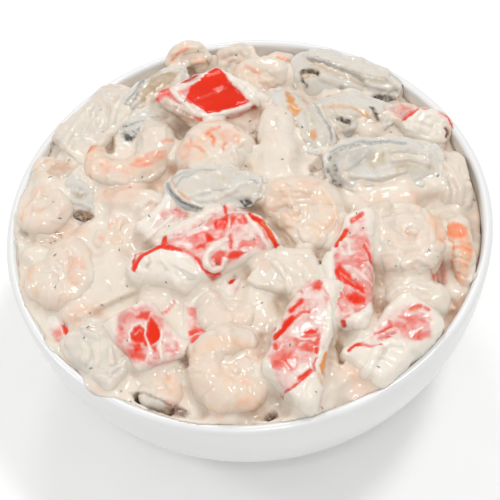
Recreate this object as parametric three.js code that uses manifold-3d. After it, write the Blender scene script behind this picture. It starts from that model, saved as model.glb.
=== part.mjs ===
// A bowl of prawn salad: curled prawns, surimi sticks, shelled mussels and white fish in a pale
// dressing, heaped in a white porcelain bowl. Millimetres, +Z up. The origin is the middle of the
// foot, on the surface that the bowl stands on. -Y is the front of the bowl.
//
// Every piece of food is a closed body of its own. Pieces are listed from the top of the heap down:
// each piece is cut by those that lie on it, and the dressing is cut by all of them.

import * as THREE from 'three';
import { mergeVertices } from 'three/addons/utils/BufferGeometryUtils.js';
import Module from 'manifold-3d';

const wasm = await Module();
wasm.setup();

// ---- Driving dimensions -----------------------------------------------------------------------

const RIM_RADIUS = 85;          // outside of the bowl at its rim
const BOWL_HEIGHT = 72;         // foot to rim
const LIP = 3.5;                // thickness of the rounded rim
const FOOT_HEIGHT = 3;          // foot ring below the bowl's underside
const FOOT_WIDTH = 4.5;         // thickness of the foot ring
const FLOOR = 3;                // thickness of the bowl's floor in the middle
const AROUND = 40;              // flat sides round the bowl

const OUTER_SWEEP = { depth: 78, power: 2.2 };   // the outer wall: a quarter of a superellipse
const INNER_SWEEP = { depth: BOWL_HEIGHT - FOOT_HEIGHT - FLOOR, power: 2.6 };
const OUTER_BENDS = [0.25, 0.5, 0.7, 0.87, 1];   // where the faceted outer wall bends, parts of its depth
const INNER_BENDS = [0.3, 0.6, 0.85, 0.97];      // and the inner wall

const GAP = 0.3;                // air left between two bodies that touch

const HEAP_MIDDLE = 1.5;         // level of the dressing above the rim, in the middle
const HEAP_FRONT = -4.5;        // level at the wall, front left
const HEAP_BACK = -11;          // level at the wall, back right, where the bare wall shows
const LOW_SIDE = 40;            // direction of that low side, degrees from +X towards +Y

const WHITE = 0xf2f2ee;
const CREAM = 0xf0e6d6;
const PRAWN_PINK = 0xf3c9ac;
const SURIMI_RED = 0xe4573f;
const MUSSEL_GREY = 0xcfccc0;
const FISH_WHITE = 0xece5d8;

const DEGREE = Math.PI / 180;

// ---- Closed bodies ----------------------------------------------------------------------------

function signedVolume(position, index) {
  const a = new THREE.Vector3();
  const b = new THREE.Vector3();
  const c = new THREE.Vector3();
  let sum = 0;
  for (let i = 0; i < index.count; i += 3) {
    a.fromBufferAttribute(position, index.getX(i));
    b.fromBufferAttribute(position, index.getX(i + 1));
    c.fromBufferAttribute(position, index.getX(i + 2));
    sum += a.dot(b.cross(c)) / 6;
  }
  return sum;
}

// Merge the shared corners, drop triangles that have shrunk to a line, and face them outwards.
function closeUp(geometry) {
  geometry.deleteAttribute('normal');
  geometry.deleteAttribute('uv');
  const merged = mergeVertices(geometry, 1e-4);
  const corners = merged.index.array;
  const kept = [];
  for (let i = 0; i < corners.length; i += 3) {
    const [a, b, c] = [corners[i], corners[i + 1], corners[i + 2]];
    if (a !== b && b !== c && c !== a) {
      kept.push(a, b, c);
    }
  }
  merged.setIndex(kept);
  if (signedVolume(merged.attributes.position, merged.index) < 0) {
    for (let i = 0; i < kept.length; i += 3) {
      [kept[i], kept[i + 1]] = [kept[i + 1], kept[i]];
    }
    merged.setIndex(kept);
  }
  return merged;
}

// A skin over a row of rings, each a loop of as many points, closed at both ends on a pole.
function skin(rings, firstPole, lastPole) {
  const sides = rings[0].length;
  const points = [firstPole, ...rings.flat(), lastPole];
  const last = points.length - 1;
  const index = [];
  for (let side = 0; side < sides; side++) {
    const next = (side + 1) % sides;
    index.push(0, 1 + side, 1 + next);
    index.push(last, last - sides + next, last - sides + side);
    for (let ring = 0; ring < rings.length - 1; ring++) {
      const here = 1 + ring * sides;
      const there = here + sides;
      index.push(here + side, there + side, there + next);
      index.push(here + side, there + next, here + next);
    }
  }
  const geometry = new THREE.BufferGeometry().setFromPoints(points);
  geometry.setIndex(index);
  return closeUp(geometry);
}

function toSolid(geometry) {
  return new wasm.Manifold(new wasm.Mesh({
    numProp: 3,
    vertProperties: new Float32Array(geometry.attributes.position.array),
    triVerts: new Uint32Array(geometry.index.array),
  }));
}

function toGeometry(solid) {
  const mesh = solid.getMesh();
  const geometry = new THREE.BufferGeometry();
  geometry.setAttribute('position', new THREE.BufferAttribute(mesh.vertProperties, 3));
  geometry.setIndex(new THREE.BufferAttribute(mesh.triVerts, 1));
  return geometry;
}

function largestBody(solid) {
  return solid.decompose().reduce((best, body) => (body.volume() > best.volume() ? body : best));
}

// ---- The bowl ---------------------------------------------------------------------------------

function wallRadius(sweep, rimRadius, depth) {
  const left = Math.max(0, 1 - (depth / sweep.depth) ** sweep.power);
  return rimRadius * left ** (1 / sweep.power);
}

function innerRadius(depth) {
  return wallRadius(INNER_SWEEP, RIM_RADIUS - LIP, depth);
}

function outerRadius(depth) {
  return wallRadius(OUTER_SWEEP, RIM_RADIUS, depth);
}

// Depth and radius of each bend of the faceted inner wall, from the lip down to the floor.
function innerBends() {
  const bends = INNER_BENDS.map((part) => part * INNER_SWEEP.depth);
  return [
    [LIP / 2, RIM_RADIUS - LIP],
    ...bends.map((depth) => [depth, innerRadius(depth)]),
    [INNER_SWEEP.depth, 0],
  ];
}

// Radius of the faceted inner wall at a depth below the rim.
function facetedRadius(depth) {
  const bends = innerBends();
  const next = bends.findIndex(([bend]) => bend >= depth);
  const [fromDepth, fromRadius] = bends[next - 1];
  const [toDepth, toRadius] = bends[next];
  return fromRadius + ((toRadius - fromRadius) * (depth - fromDepth)) / (toDepth - fromDepth);
}

// The bowl's outline from the middle of its floor, up the inside, over the lip, down the outside
// and round the foot ring. With grow it is that much thicker on the inside and on top.
function bowlOutline(grow) {
  const underside = BOWL_HEIGHT - FOOT_HEIGHT;
  const outer = OUTER_BENDS.map((part) => part * underside);
  const lipRadius = LIP / 2 + grow;
  const points = innerBends().slice(1).reverse().map(([depth, radius]) => (
    new THREE.Vector2(Math.max(0, radius - grow), BOWL_HEIGHT - depth + grow)));
  for (const angle of [180, 135, 90, 45, 0]) {
    points.push(new THREE.Vector2(
      RIM_RADIUS - LIP / 2 + lipRadius * Math.cos(angle * DEGREE),
      BOWL_HEIGHT - LIP / 2 + lipRadius * Math.sin(angle * DEGREE)));
  }
  for (const depth of outer) {
    points.push(new THREE.Vector2(outerRadius(depth) + grow, BOWL_HEIGHT - depth));
  }
  const footRadius = outerRadius(underside);
  points.push(new THREE.Vector2(footRadius - 0.6, 0));
  points.push(new THREE.Vector2(footRadius - FOOT_WIDTH, 0));
  points.push(new THREE.Vector2(footRadius - FOOT_WIDTH - 1, FOOT_HEIGHT));
  points.push(new THREE.Vector2(0, FOOT_HEIGHT));
  return points;
}

function bowl(grow = 0) {
  const geometry = new THREE.LatheGeometry(bowlOutline(grow), AROUND);
  geometry.rotateX(90 * DEGREE);
  return closeUp(geometry);
}

// ---- The dressing -----------------------------------------------------------------------------

// Level of the dressing at the wall, above the rim: low at the back right, high at the front left.
function wallLevel(angle) {
  const low = (1 + Math.cos(angle - LOW_SIDE * DEGREE)) / 2;
  return HEAP_FRONT + (HEAP_BACK - HEAP_FRONT) * low;
}

function ringAround(radiusAt, levelAt) {
  return Array.from({ length: AROUND }, (_, side) => {
    const angle = (side * 2 * Math.PI) / AROUND;
    const radius = radiusAt(angle);
    return new THREE.Vector3(radius * Math.cos(angle), radius * Math.sin(angle), levelAt(angle));
  });
}

// The dressing fills the bowl from wall to wall up to a low mound.
function dressing() {
  const top = [0.2, 0.4, 0.6, 0.75, 0.88, 1].map((reach) => ringAround(
    (angle) => reach * (facetedRadius(-wallLevel(angle)) - 2 * GAP),
    (angle) => {
      const edge = wallLevel(angle);
      return BOWL_HEIGHT + edge + (HEAP_MIDDLE - edge) * (1 - reach ** 2);
    },
  ));
  const bottom = innerBends().slice(1, -1).map(([depth, radius]) => ringAround(
    () => radius - 2 * GAP,
    () => BOWL_HEIGHT - depth + 2 * GAP,
  ));
  return skin([...top, ...bottom], new THREE.Vector3(0, 0, BOWL_HEIGHT + HEAP_MIDDLE),
    new THREE.Vector3(0, 0, BOWL_HEIGHT - INNER_SWEEP.depth + 2 * GAP));
}

// ---- The food ---------------------------------------------------------------------------------

// A point on a rounded oval or, with a higher power, on a rounded box.
function roundedSection(angle, halfWidth, halfHeight, power) {
  const x = Math.cos(angle);
  const y = Math.sin(angle);
  return [
    halfWidth * Math.sign(x) * Math.abs(x) ** (2 / power),
    halfHeight * Math.sign(y) * Math.abs(y) ** (2 / power),
  ];
}

function sectionAngles(sides) {
  return Array.from({ length: sides }, (_, side) => ((side + 0.5) * 2 * Math.PI) / sides);
}

// A peeled prawn, curled in its own XY plane round the middle of the curl: thick where the head
// was, thin at the tail, with a notch between each two of its segments.
function prawn({ curl, turn, thick, from = 0, oval = 1 }, grow) {
  const segments = 5;
  const notch = 0.06;
  const tuck = 0.2;
  const steps = 2 * segments;
  const centre = (t) => {
    const angle = (from + turn * t) * DEGREE;
    const radius = curl * (1 - tuck * t);
    return new THREE.Vector3(oval * radius * Math.cos(angle), radius * Math.sin(angle), 0);
  };
  const heading = (t) => centre(t + 0.01).sub(centre(t - 0.01)).normalize();
  const up = new THREE.Vector3(0, 0, Math.sign(turn));
  const rings = [];
  for (let step = 0; step <= steps; step++) {
    const t = step / steps;
    const out = new THREE.Vector3().crossVectors(heading(t), up);
    const innerReach = (0.85 * curl * (1 - tuck * t)) / oval + grow;
    const blunt = Math.min(1, 0.7 + t * 3) * Math.min(1, 0.55 + (1 - t) * 2.5);
    const bulge = 1 - notch * Math.cos(2 * Math.PI * segments * t);
    const half = thick * (1 - 0.38 * t) * blunt * bulge + grow;
    rings.push(sectionAngles(8).map((angle) => {
      const [sideways, upwards] = roundedSection(angle, half, half * 0.92, 2);
      const point = centre(t).addScaledVector(out, Math.max(sideways, -innerReach));
      point.z += upwards;
      return point;
    }));
  }
  const cap = (t, sign) => centre(t).addScaledVector(heading(t), sign * (thick * 0.3 + grow));
  return skin(rings, cap(0, -1), cap(1, 1));
}

// A piece of surimi stick along its own X: a rounded box with an oblique cut at each end.
function surimi({ length, width, height, cuts = [0, 0], bend = 0, round = 3.4 }, grow) {
  const bevel = 1.2;
  const ringAt = (part, inset, shrink) => {
    const slant = 2 * Math.abs(part) * (part < 0 ? cuts[0] : cuts[1]);
    const halfWidth = width / 2 - shrink * bevel + grow;
    const halfHeight = height / 2 - shrink * bevel + grow;
    return sectionAngles(10).map((angle) => {
      const [y, z] = roundedSection(angle, halfWidth, halfHeight, round);
      const x = part * length + inset + Math.sign(part) * grow + slant * y;
      return new THREE.Vector3(x, y, z - bend * ((2 * part) ** 2 - 0.5));
    });
  };
  const rings = [
    ringAt(-0.5, 0, 1), ringAt(-0.5, bevel, 0), ringAt(0, 0, 0), ringAt(0.5, -bevel, 0),
    ringAt(0.5, 0, 1),
  ];
  const middleOf = (ring) => ring.reduce((sum, point) => sum.add(point), new THREE.Vector3())
    .divideScalar(ring.length);
  return skin(rings, middleOf(rings[0]), middleOf(rings[rings.length - 1]));
}

// A shelled mussel along its own X: a flattened drop, with its thin edge all round it.
function mussel({ length, width, height, taper = 0.25, bend = 0 }, grow) {
  const steps = 6;
  const rings = [];
  for (let step = 1; step < steps; step++) {
    const along = -Math.cos((Math.PI * step) / steps);
    const swell = Math.sin((Math.PI * step) / steps) ** 0.8 * (1 - taper * along);
    rings.push(sectionAngles(8).map((angle) => {
      const [y, z] = roundedSection(angle, (width / 2) * swell + grow,
        (height / 2) * swell + grow, 1.8);
      return new THREE.Vector3(along * (length / 2 + grow), y, z - bend * (along ** 2 - 0.4));
    }));
  }
  const tip = (sign) => new THREE.Vector3(sign * (length / 2 + grow), 0, -bend * 0.6);
  return skin(rings, tip(-1), tip(1));
}

// A soft lump of fish or of dressing round a piece, along its own X.
function lump({ length, width, height, power = 2.2, dents = 0.06 }, grow) {
  const steps = 6;
  const rings = [];
  for (let step = 1; step < steps; step++) {
    const along = -Math.cos((Math.PI * step) / steps);
    const swell = (1 - Math.abs(along) ** power) ** (1 / power);
    rings.push(sectionAngles(8).map((angle, side) => {
      const dent = 1 + dents * Math.sin(2.3 * side + 1.7 * step);
      const [y, z] = roundedSection(angle, (width / 2) * swell * dent + grow,
        (height / 2) * swell * dent + grow, power);
      return new THREE.Vector3(along * (length / 2 + grow), y, z);
    }));
  }
  const end = (sign) => new THREE.Vector3(sign * (length / 2 + grow), 0, 0);
  return skin(rings, end(-1), end(1));
}

// ---- The pieces, from the top of the heap down ------------------------------------------------
//
// at: middle of the piece from the middle of the rim. heading: where its own X points, degrees from
// +X towards +Y. rise: how far that end is raised. roll: turn about its own X, which raises the
// side that is 90 degrees on from the heading. Prawns also give the side of the curl where the
// thick end lies (from) and how far the body turns (minus is clockwise).

const PIECES = [
  { name: 'surimi_centre', make: surimi, colour: SURIMI_RED, at: [-12, -19.4, 6.5], heading: 20,
    rise: 3, roll: 14, length: 42, width: 20, height: 15, cuts: [-0.5, -0.3], bend: 2 },
  { name: 'surimi_back', make: surimi, colour: SURIMI_RED, at: [-9, 51.7, 5], heading: 18,
    rise: 4, roll: 28, length: 30, width: 18, height: 14, cuts: [-0.5, -0.7] },
  { name: 'mussel_centre', make: mussel, colour: MUSSEL_GREY, at: [-10, 5.7, 7], heading: -3,
    rise: 0, roll: 10, length: 35, width: 19, height: 13 },
  { name: 'prawn_centre_right', make: prawn, colour: PRAWN_PINK, at: [19, -8, 4], heading: 0,
    rise: 0, roll: 6, curl: 8.8, turn: -310, from: 160, thick: 8.2 },
  { name: 'prawn_front', make: prawn, colour: PRAWN_PINK, at: [-10, -64.5, 3], heading: 0,
    rise: 0, roll: 6, curl: 9.2, turn: 310, from: 60, thick: 8 },
  { name: 'surimi_front_right', make: surimi, colour: SURIMI_RED, at: [12.2, -56.2, 4],
    heading: 71, rise: 4, roll: 8, length: 41.5, width: 20, height: 15, cuts: [0.6, -0.3] },
  { name: 'surimi_right', make: surimi, colour: SURIMI_RED, at: [31.5, -34, 4], heading: 74,
    rise: 3, roll: -4, length: 42, width: 19, height: 14, cuts: [0.2, -0.7] },
  { name: 'prawn_right', make: prawn, colour: PRAWN_PINK, at: [52.5, -18.5, 2], heading: 95,
    rise: 0, roll: 0, curl: 9, turn: 310, from: 30, thick: 8, oval: 1.4 },
  { name: 'lobe', make: lump, colour: CREAM, at: [14, 30, 5], heading: 80,
    rise: 6, roll: 0, length: 24, width: 14, height: 10 },
  { name: 'prawn_top_centre', make: prawn, colour: PRAWN_PINK, at: [-9, 23, 4], heading: 0,
    rise: 0, roll: 6, curl: 9, turn: 310, from: -20, thick: 7.8 },
  { name: 'prawn_left_c', make: prawn, colour: PRAWN_PINK, at: [-41.5, 33.5, 3], heading: 0,
    rise: 0, roll: 4, curl: 13, turn: -235, from: 35, thick: 7.6 },
  { name: 'mussel_right', make: mussel, colour: MUSSEL_GREY, at: [50, 11, 3], heading: -4,
    rise: -2, roll: 12, length: 43, width: 22, height: 14, taper: 0.1 },
  { name: 'mussel_orange', make: mussel, colour: MUSSEL_GREY, at: [22.5, 36.5, 2],
    heading: -60, rise: 0, roll: 0, length: 37, width: 18, height: 12, taper: 0 },
  { name: 'mussel_back_right', make: mussel, colour: MUSSEL_GREY, at: [43, 58, -2], heading: -22,
    rise: -4, roll: 25, length: 43, width: 19, height: 14 },
  { name: 'mussel_back_right_low', make: mussel, colour: MUSSEL_GREY, at: [43, 39, -2],
    heading: -8, rise: 0, roll: 10, length: 32, width: 18, height: 12 },
  { name: 'surimi_front_left', make: surimi, colour: SURIMI_RED, at: [-37.5, -47, 1],
    heading: -58, rise: -6, roll: 8, length: 24, width: 19, height: 13, cuts: [0.2, 0.4] },
  { name: 'white_centre', make: lump, colour: FISH_WHITE, at: [12, -31, 5], heading: -20,
    rise: 0, roll: 0, length: 20, width: 20, height: 11 },
  { name: 'prawn_cream', make: prawn, colour: PRAWN_PINK, at: [-9, -41, 2], heading: 0,
    rise: 0, roll: 0, curl: 6, turn: 300, from: 120, thick: 6.8 },
  { name: 'surimi_behind', make: surimi, colour: SURIMI_RED, at: [-28, -3, 4], heading: 42,
    rise: 6, roll: 10, length: 20, width: 14, height: 11 },
  { name: 'prawn_left', make: prawn, colour: PRAWN_PINK, at: [-65, -15, 1], heading: 95,
    rise: 6, roll: 0, curl: 7.5, turn: 310, from: 80, thick: 7, oval: 1.4 },
  { name: 'prawn_left_rim', make: prawn, colour: PRAWN_PINK, at: [-71.5, 13, 0], heading: -10,
    rise: 0, roll: 0, curl: 6, turn: 300, from: 200, thick: 5.8, oval: 1.15 },
  { name: 'prawn_left_upper', make: prawn, colour: PRAWN_PINK, at: [-67, 30.5, 0], heading: 15,
    rise: 0, roll: 0, curl: 4.8, turn: -290, from: 0, thick: 5, oval: 1.2 },
  { name: 'white_left_rim', make: lump, colour: FISH_WHITE, at: [-52.6, 51.6, 0], heading: 48,
    rise: 0, roll: 0, length: 38, width: 21, height: 12, power: 3.2 },
  { name: 'mussel_back_left', make: mussel, colour: MUSSEL_GREY, at: [-32, 57.5, 1],
    heading: 38, rise: 0, roll: 20, length: 38, width: 14, height: 11, taper: 0 },
  { name: 'mussel_foot', make: mussel, colour: MUSSEL_GREY, at: [-31, 46, 0], heading: 20,
    rise: 0, roll: 0, length: 32, width: 15, height: 10 },
  { name: 'mussel_bit', make: mussel, colour: MUSSEL_GREY, at: [-58, 17, -1], heading: -70,
    rise: 0, roll: 0, length: 22, width: 13, height: 9 },
  { name: 'prawn_mid', make: prawn, colour: PRAWN_PINK, at: [-46, -4, 0], heading: 0,
    rise: 0, roll: 0, curl: 5.2, turn: 300, from: 30, thick: 5.4 },
  { name: 'surimi_low_right', make: surimi, colour: SURIMI_RED, at: [41.5, -59, 0], heading: 38,
    rise: 2, roll: 6, length: 33, width: 19, height: 13 },
  { name: 'lump_right', make: lump, colour: FISH_WHITE, at: [52, -43, -1], heading: -10,
    rise: 0, roll: 0, length: 22, width: 15, height: 11 },
  { name: 'prawn_rim_right', make: prawn, colour: PRAWN_PINK, at: [70.5, -25.5, -13], heading: 90,
    rise: 0, roll: 90, curl: 14, turn: -155, from: 165, thick: 5.2 },
  { name: 'prawn_rim_right_up', make: prawn, colour: PRAWN_PINK, at: [73.5, 7, -11], heading: 86,
    rise: 0, roll: 90, curl: 11, turn: -170, from: 175, thick: 7.6 },
  { name: 'surimi_rim_back_right', make: surimi, colour: SURIMI_RED, at: [68.2, 31.2, -4.2],
    heading: 101, rise: -59, roll: 31, length: 16, width: 19, height: 14, round: 2.4 },
  { name: 'prawn_rim_back', make: prawn, colour: PRAWN_PINK, at: [-15.5, 74, 1], heading: 0,
    rise: 0, roll: 50, curl: 5.4, turn: 240, from: -20, thick: 5.4 },
  { name: 'prawn_back', make: prawn, colour: PRAWN_PINK, at: [2, 74, -1], heading: 0,
    rise: 0, roll: 20, curl: 5, turn: 280, from: -40, thick: 5.2 },
  { name: 'prawn_back_2', make: prawn, colour: PRAWN_PINK, at: [12, 63, -1], heading: -30,
    rise: 0, roll: 10, curl: 5.2, turn: 300, from: 10, thick: 5.4, oval: 1.4 },
  { name: 'prawn_back_pink', make: prawn, colour: PRAWN_PINK, at: [19, 70.5, -6], heading: 0,
    rise: 0, roll: 0, curl: 4.6, turn: 280, from: 10, thick: 5 },
  { name: 'prawn_front_left', make: prawn, colour: PRAWN_PINK, at: [-36, -62, -3], heading: 0,
    rise: 0, roll: 0, curl: 7.2, turn: -290, from: 150, thick: 6.2 },
  { name: 'lump_front_left', make: lump, colour: FISH_WHITE, at: [-55, -50, -2], heading: -50,
    rise: 0, roll: 0, length: 26, width: 19, height: 12 },
  { name: 'surimi_rim_left', make: surimi, colour: SURIMI_RED, at: [-66, -36, -6], heading: 100,
    rise: 0, roll: 0, length: 20, width: 12, height: 10 },
  { name: 'surimi_front_mid', make: surimi, colour: SURIMI_RED, at: [-20, -45, -1], heading: 80,
    rise: 0, roll: 0, length: 22, width: 14, height: 11 },
  { name: 'surimi_small', make: surimi, colour: SURIMI_RED, at: [-8, -29, 1], heading: 55,
    rise: 0, roll: 0, length: 16, width: 11, height: 9 },
  { name: 'surimi_deep_right', make: surimi, colour: SURIMI_RED, at: [63, -30, -12], heading: 80,
    rise: 0, roll: 0, length: 22, width: 13, height: 10 },
];

function placed(geometry, piece) {
  const mesh = new THREE.Mesh(geometry, new THREE.MeshStandardMaterial({
    color: piece.colour, roughness: 0.35, metalness: 0,
  }));
  mesh.name = piece.name;
  mesh.position.set(piece.at[0], piece.at[1], BOWL_HEIGHT + piece.at[2]);
  mesh.rotation.set(piece.roll * DEGREE, -piece.rise * DEGREE, piece.heading * DEGREE, 'ZYX');
  mesh.updateMatrixWorld(true);
  return mesh;
}

// The piece as a solid where it lies, grown by as much as its neighbours keep away from it.
function whereItLies(piece, grow) {
  const mesh = placed(piece.make(piece, grow), piece);
  return toSolid(mesh.geometry.applyMatrix4(mesh.matrixWorld));
}

function heap(bowlRoom) {
  const meshes = [];
  let above = null;
  for (const piece of PIECES) {
    let solid = whereItLies(piece, 0).subtract(bowlRoom);
    if (above) {
      solid = solid.subtract(above);
    }
    const room = whereItLies(piece, GAP);
    above = above ? above.add(room) : room;
    const geometry = toGeometry(largestBody(solid));
    const mesh = placed(geometry, piece);
    geometry.applyMatrix4(mesh.matrixWorld.clone().invert());
    meshes.push(mesh);
  }
  return { meshes, above };
}

function plainMesh(name, geometry, colour, roughness) {
  const mesh = new THREE.Mesh(geometry, new THREE.MeshStandardMaterial({
    color: colour, roughness, metalness: 0,
  }));
  mesh.name = name;
  return mesh;
}

const salad = new THREE.Group();
const { meshes, above } = heap(toSolid(bowl(GAP)));
salad.add(plainMesh('bowl', bowl(), WHITE, 0.15));
salad.add(plainMesh('dressing', toGeometry(largestBody(toSolid(dressing()).subtract(above))),
  CREAM, 0.3));
salad.add(...meshes);

export default salad;
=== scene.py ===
# %% [markdown]
# # A bowl of prawn salad
# This notebook dresses a bowl of seafood salad: curled prawns, surimi sticks, shelled mussels and
# white fish, heaped in a white porcelain bowl under a thick pale dressing.
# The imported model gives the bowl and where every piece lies. Each piece is made again here as a
# fine mesh of its own, and the paint on it follows the photograph.

# %% Load the fixed frame
import math

import bmesh
import bpy
import numpy as np
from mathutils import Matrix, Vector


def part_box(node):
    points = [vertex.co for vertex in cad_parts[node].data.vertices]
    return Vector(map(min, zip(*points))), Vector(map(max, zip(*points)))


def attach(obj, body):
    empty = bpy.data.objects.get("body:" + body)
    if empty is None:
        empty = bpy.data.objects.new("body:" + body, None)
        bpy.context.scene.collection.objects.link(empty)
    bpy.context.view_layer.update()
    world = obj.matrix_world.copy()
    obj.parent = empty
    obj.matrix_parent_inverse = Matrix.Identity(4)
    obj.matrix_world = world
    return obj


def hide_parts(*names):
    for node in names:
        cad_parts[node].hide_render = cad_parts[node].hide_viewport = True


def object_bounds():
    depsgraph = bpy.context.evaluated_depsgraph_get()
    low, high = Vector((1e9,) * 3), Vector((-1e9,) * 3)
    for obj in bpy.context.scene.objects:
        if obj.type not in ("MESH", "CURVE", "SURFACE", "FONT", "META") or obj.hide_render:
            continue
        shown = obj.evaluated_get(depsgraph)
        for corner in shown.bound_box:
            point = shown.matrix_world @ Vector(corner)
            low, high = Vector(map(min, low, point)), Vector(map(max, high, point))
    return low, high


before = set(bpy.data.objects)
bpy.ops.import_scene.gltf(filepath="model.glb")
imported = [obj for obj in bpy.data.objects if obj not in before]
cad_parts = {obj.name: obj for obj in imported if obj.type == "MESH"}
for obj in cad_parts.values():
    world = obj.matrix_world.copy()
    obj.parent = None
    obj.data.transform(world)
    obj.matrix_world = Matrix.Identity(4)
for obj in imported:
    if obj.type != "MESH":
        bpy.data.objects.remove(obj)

import openvdb
from mathutils import Matrix, Vector, noise
from mathutils.kdtree import KDTree

cad_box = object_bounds()
print("the model's box:", [round(v, 4) for corner in cad_box for v in corner])

# %% [markdown]
# ## Measures
# Everything below is worked out in millimetres from the middle of the rim, because that is how a
# cook sees the heap: what stands above the rim and what lies below it. The rim's middle and the
# bowl's size come from the frame.

# %% Measures of the bowl
MM = 0.001
bowl_low, bowl_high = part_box("bowl")
RIM_RADIUS = (bowl_high.x - bowl_low.x) / 2 / MM
BOWL_HEIGHT = bowl_high.z / MM
RIM_MIDDLE = Vector((0, 0, bowl_high.z))
LIP = 3.5                 # thickness of the rounded rim
LIP_RADIUS = RIM_RADIUS - LIP / 2
FOOT_HEIGHT = 3.0
FLOOR = 3.0
OUTER_DEPTH = 78.0        # the outer wall is a quarter of a superellipse this deep
OUTER_POWER = 2.2
INNER_DEPTH = BOWL_HEIGHT - FOOT_HEIGHT - FLOOR
INNER_POWER = 2.6


def swept_radius(rim, depth_of_sweep, power, depth):
    left = np.clip(1 - (np.asarray(depth, float) / depth_of_sweep) ** power, 0, 1)
    return rim * left ** (1 / power)


def inner_radius(depth):
    return swept_radius(RIM_RADIUS - LIP, INNER_DEPTH, INNER_POWER, np.maximum(depth, 0))


def outer_radius(depth):
    return swept_radius(RIM_RADIUS, OUTER_DEPTH, OUTER_POWER, depth)


print("rim radius", round(RIM_RADIUS, 2), "mm, height", round(BOWL_HEIGHT, 2), "mm")

# %% [markdown]
# ## The camera
# The photograph looks down at the bowl from the front, at 55 degrees, with a slight roll. These
# numbers were found by laying the rim's ellipse over the photograph. The camera comes first
# because the paint on the food is placed through it.

# %% The camera at the photograph's angle
PHOTO_SIDE = 500          # pixels
FOCAL = 1286.4            # pixels
LOOK_DOWN = math.radians(54.72)
ROLL = math.radians(-7.16)
AIM_RIGHT = 1.09          # mm that the view's middle passes beside the rim's middle
AIM_UP = -12.47
DISTANCE = 450.0          # mm
SENSOR = 36.0             # mm

forward = np.array([0, math.cos(LOOK_DOWN), -math.sin(LOOK_DOWN)])
level_right = np.array([1.0, 0, 0])
level_up = np.cross(level_right, forward)
right = math.cos(ROLL) * level_right + math.sin(ROLL) * level_up
up = -math.sin(ROLL) * level_right + math.cos(ROLL) * level_up
eye = AIM_RIGHT * right + AIM_UP * up - DISTANCE * forward

camera_data = bpy.data.cameras.new("camera")
camera_data.sensor_width = SENSOR
camera_data.lens = SENSOR * FOCAL / PHOTO_SIDE
camera = bpy.data.objects.new("camera", camera_data)
bpy.context.scene.collection.objects.link(camera)
turn = Matrix((right, up, -forward)).transposed().to_4x4()
camera.matrix_world = Matrix.Translation(RIM_MIDDLE + Vector(eye * MM)) @ turn
bpy.context.scene.camera = camera


def photo_place(points):
    """Where points, in millimetres from the rim's middle, stand in the photograph, in pixels."""
    seen = points - eye
    away = seen @ forward
    half = PHOTO_SIDE / 2
    return np.column_stack([half + FOCAL * (seen @ right) / away,
                            half - FOCAL * (seen @ up) / away])


def sight_line(pixel):
    """The direction from the eye through a pixel of the photograph."""
    half = PHOTO_SIDE / 2
    line = forward + (pixel[0] - half) / FOCAL * right - (pixel[1] - half) / FOCAL * up
    return line / np.linalg.norm(line)


def at_pixel(pixel, level):
    """The point on a pixel's line of sight that lies at a level above the rim."""
    line = sight_line(pixel)
    return eye + line * (level - eye[2]) / line[2]


print("lens", round(camera_data.lens, 1), "mm; the rim's middle is at pixel",
      photo_place(np.zeros((1, 3)))[0].round(1))

# %% [markdown]
# ## Fusing soft shapes
# Food has no sharp joins. A prawn, a frilled mussel or the dressing round them could be sculpted
# by hand or joined with Booleans, but the first can't be repeated and the second leaves creases.
# Here simple closed bodies are poured into a level set, which is a grid that holds the distance
# to the nearest surface, and one even mesh comes back out of it.

# %% From closed bodies to one even mesh
FINE = 0.5                # mm, the mesh of a piece of food
COARSE = 0.88             # mm, the mesh of the dressing


def level_set(bodies, voxel, reach):
    """The distance grid of closed bodies, each (points, four-sided faces)."""
    starts = np.cumsum([0] + [len(points) for points, _ in bodies[:-1]])
    points = np.vstack([points for points, _ in bodies]).astype(np.float32)
    faces = np.vstack([faces + start for (_, faces), start in zip(bodies, starts)])
    return openvdb.FloatGrid.createLevelSetFromPolygons(
        points, quads=faces.astype(np.uint32), halfWidth=reach / voxel,
        transform=openvdb.createLinearTransform(voxelSize=voxel))


def skin_of(grid, offset=0.0):
    """The surface of a distance grid, grown by the offset, with its faces pointing out."""
    points, faces = grid.convertToQuads(offset)
    return points.astype(float), faces[:, ::-1].astype(int)


def relax(points, faces, rounds, share=0.5):
    """Move every point towards the mean of its neighbours."""
    sides = np.vstack([faces[:, [i, (i + 1) % 4]] for i in range(4)])
    count = np.bincount(sides[:, 0], minlength=len(points))[:, None]
    for _ in range(rounds):
        mean = np.column_stack([
            np.bincount(sides[:, 0], points[sides[:, 1], axis], len(points)) for axis in range(3)])
        points = points + share * (mean / np.maximum(count, 1) - points)
    return points


def normals_of(points, faces):
    across = points[faces[:, 2]] - points[faces[:, 0]]
    along = points[faces[:, 3]] - points[faces[:, 1]]
    facing = np.cross(across, along)
    total = np.column_stack([
        np.bincount(faces.ravel(), np.repeat(facing[:, axis], 4), len(points))
        for axis in range(3)])
    return total / np.maximum(np.linalg.norm(total, axis=1, keepdims=True), 1e-9)


def ripple(points, size, seed):
    """Smooth noise from -1 to 1 with humps of about that size, one value for each point."""
    return np.array([noise.noise(p) for p in (points / size + 17.3 * seed).tolist()])


def folds(points, size, seed):
    """Thin soft ridges that wander, from 0 to 1, as on cream that has been stirred."""
    wander = np.column_stack([ripple(points, 1.6 * size, seed + part) for part in (0.2, 0.4, 0.6)])
    return np.exp(-(ripple(points + 0.9 * size * wander, size, seed) / 0.14) ** 2)


def smooth_step(low, high, value):
    t = np.clip((value - low) / (high - low), 0, 1)
    return t * t * (3 - 2 * t)


# %% [markdown]
# ## Bodies along a line
# Every piece starts as a row of rings round a line. A grid of points with two closed ends is the
# plainest way to hold that, and it bends, tapers and swells with a few lines of numpy.

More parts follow.
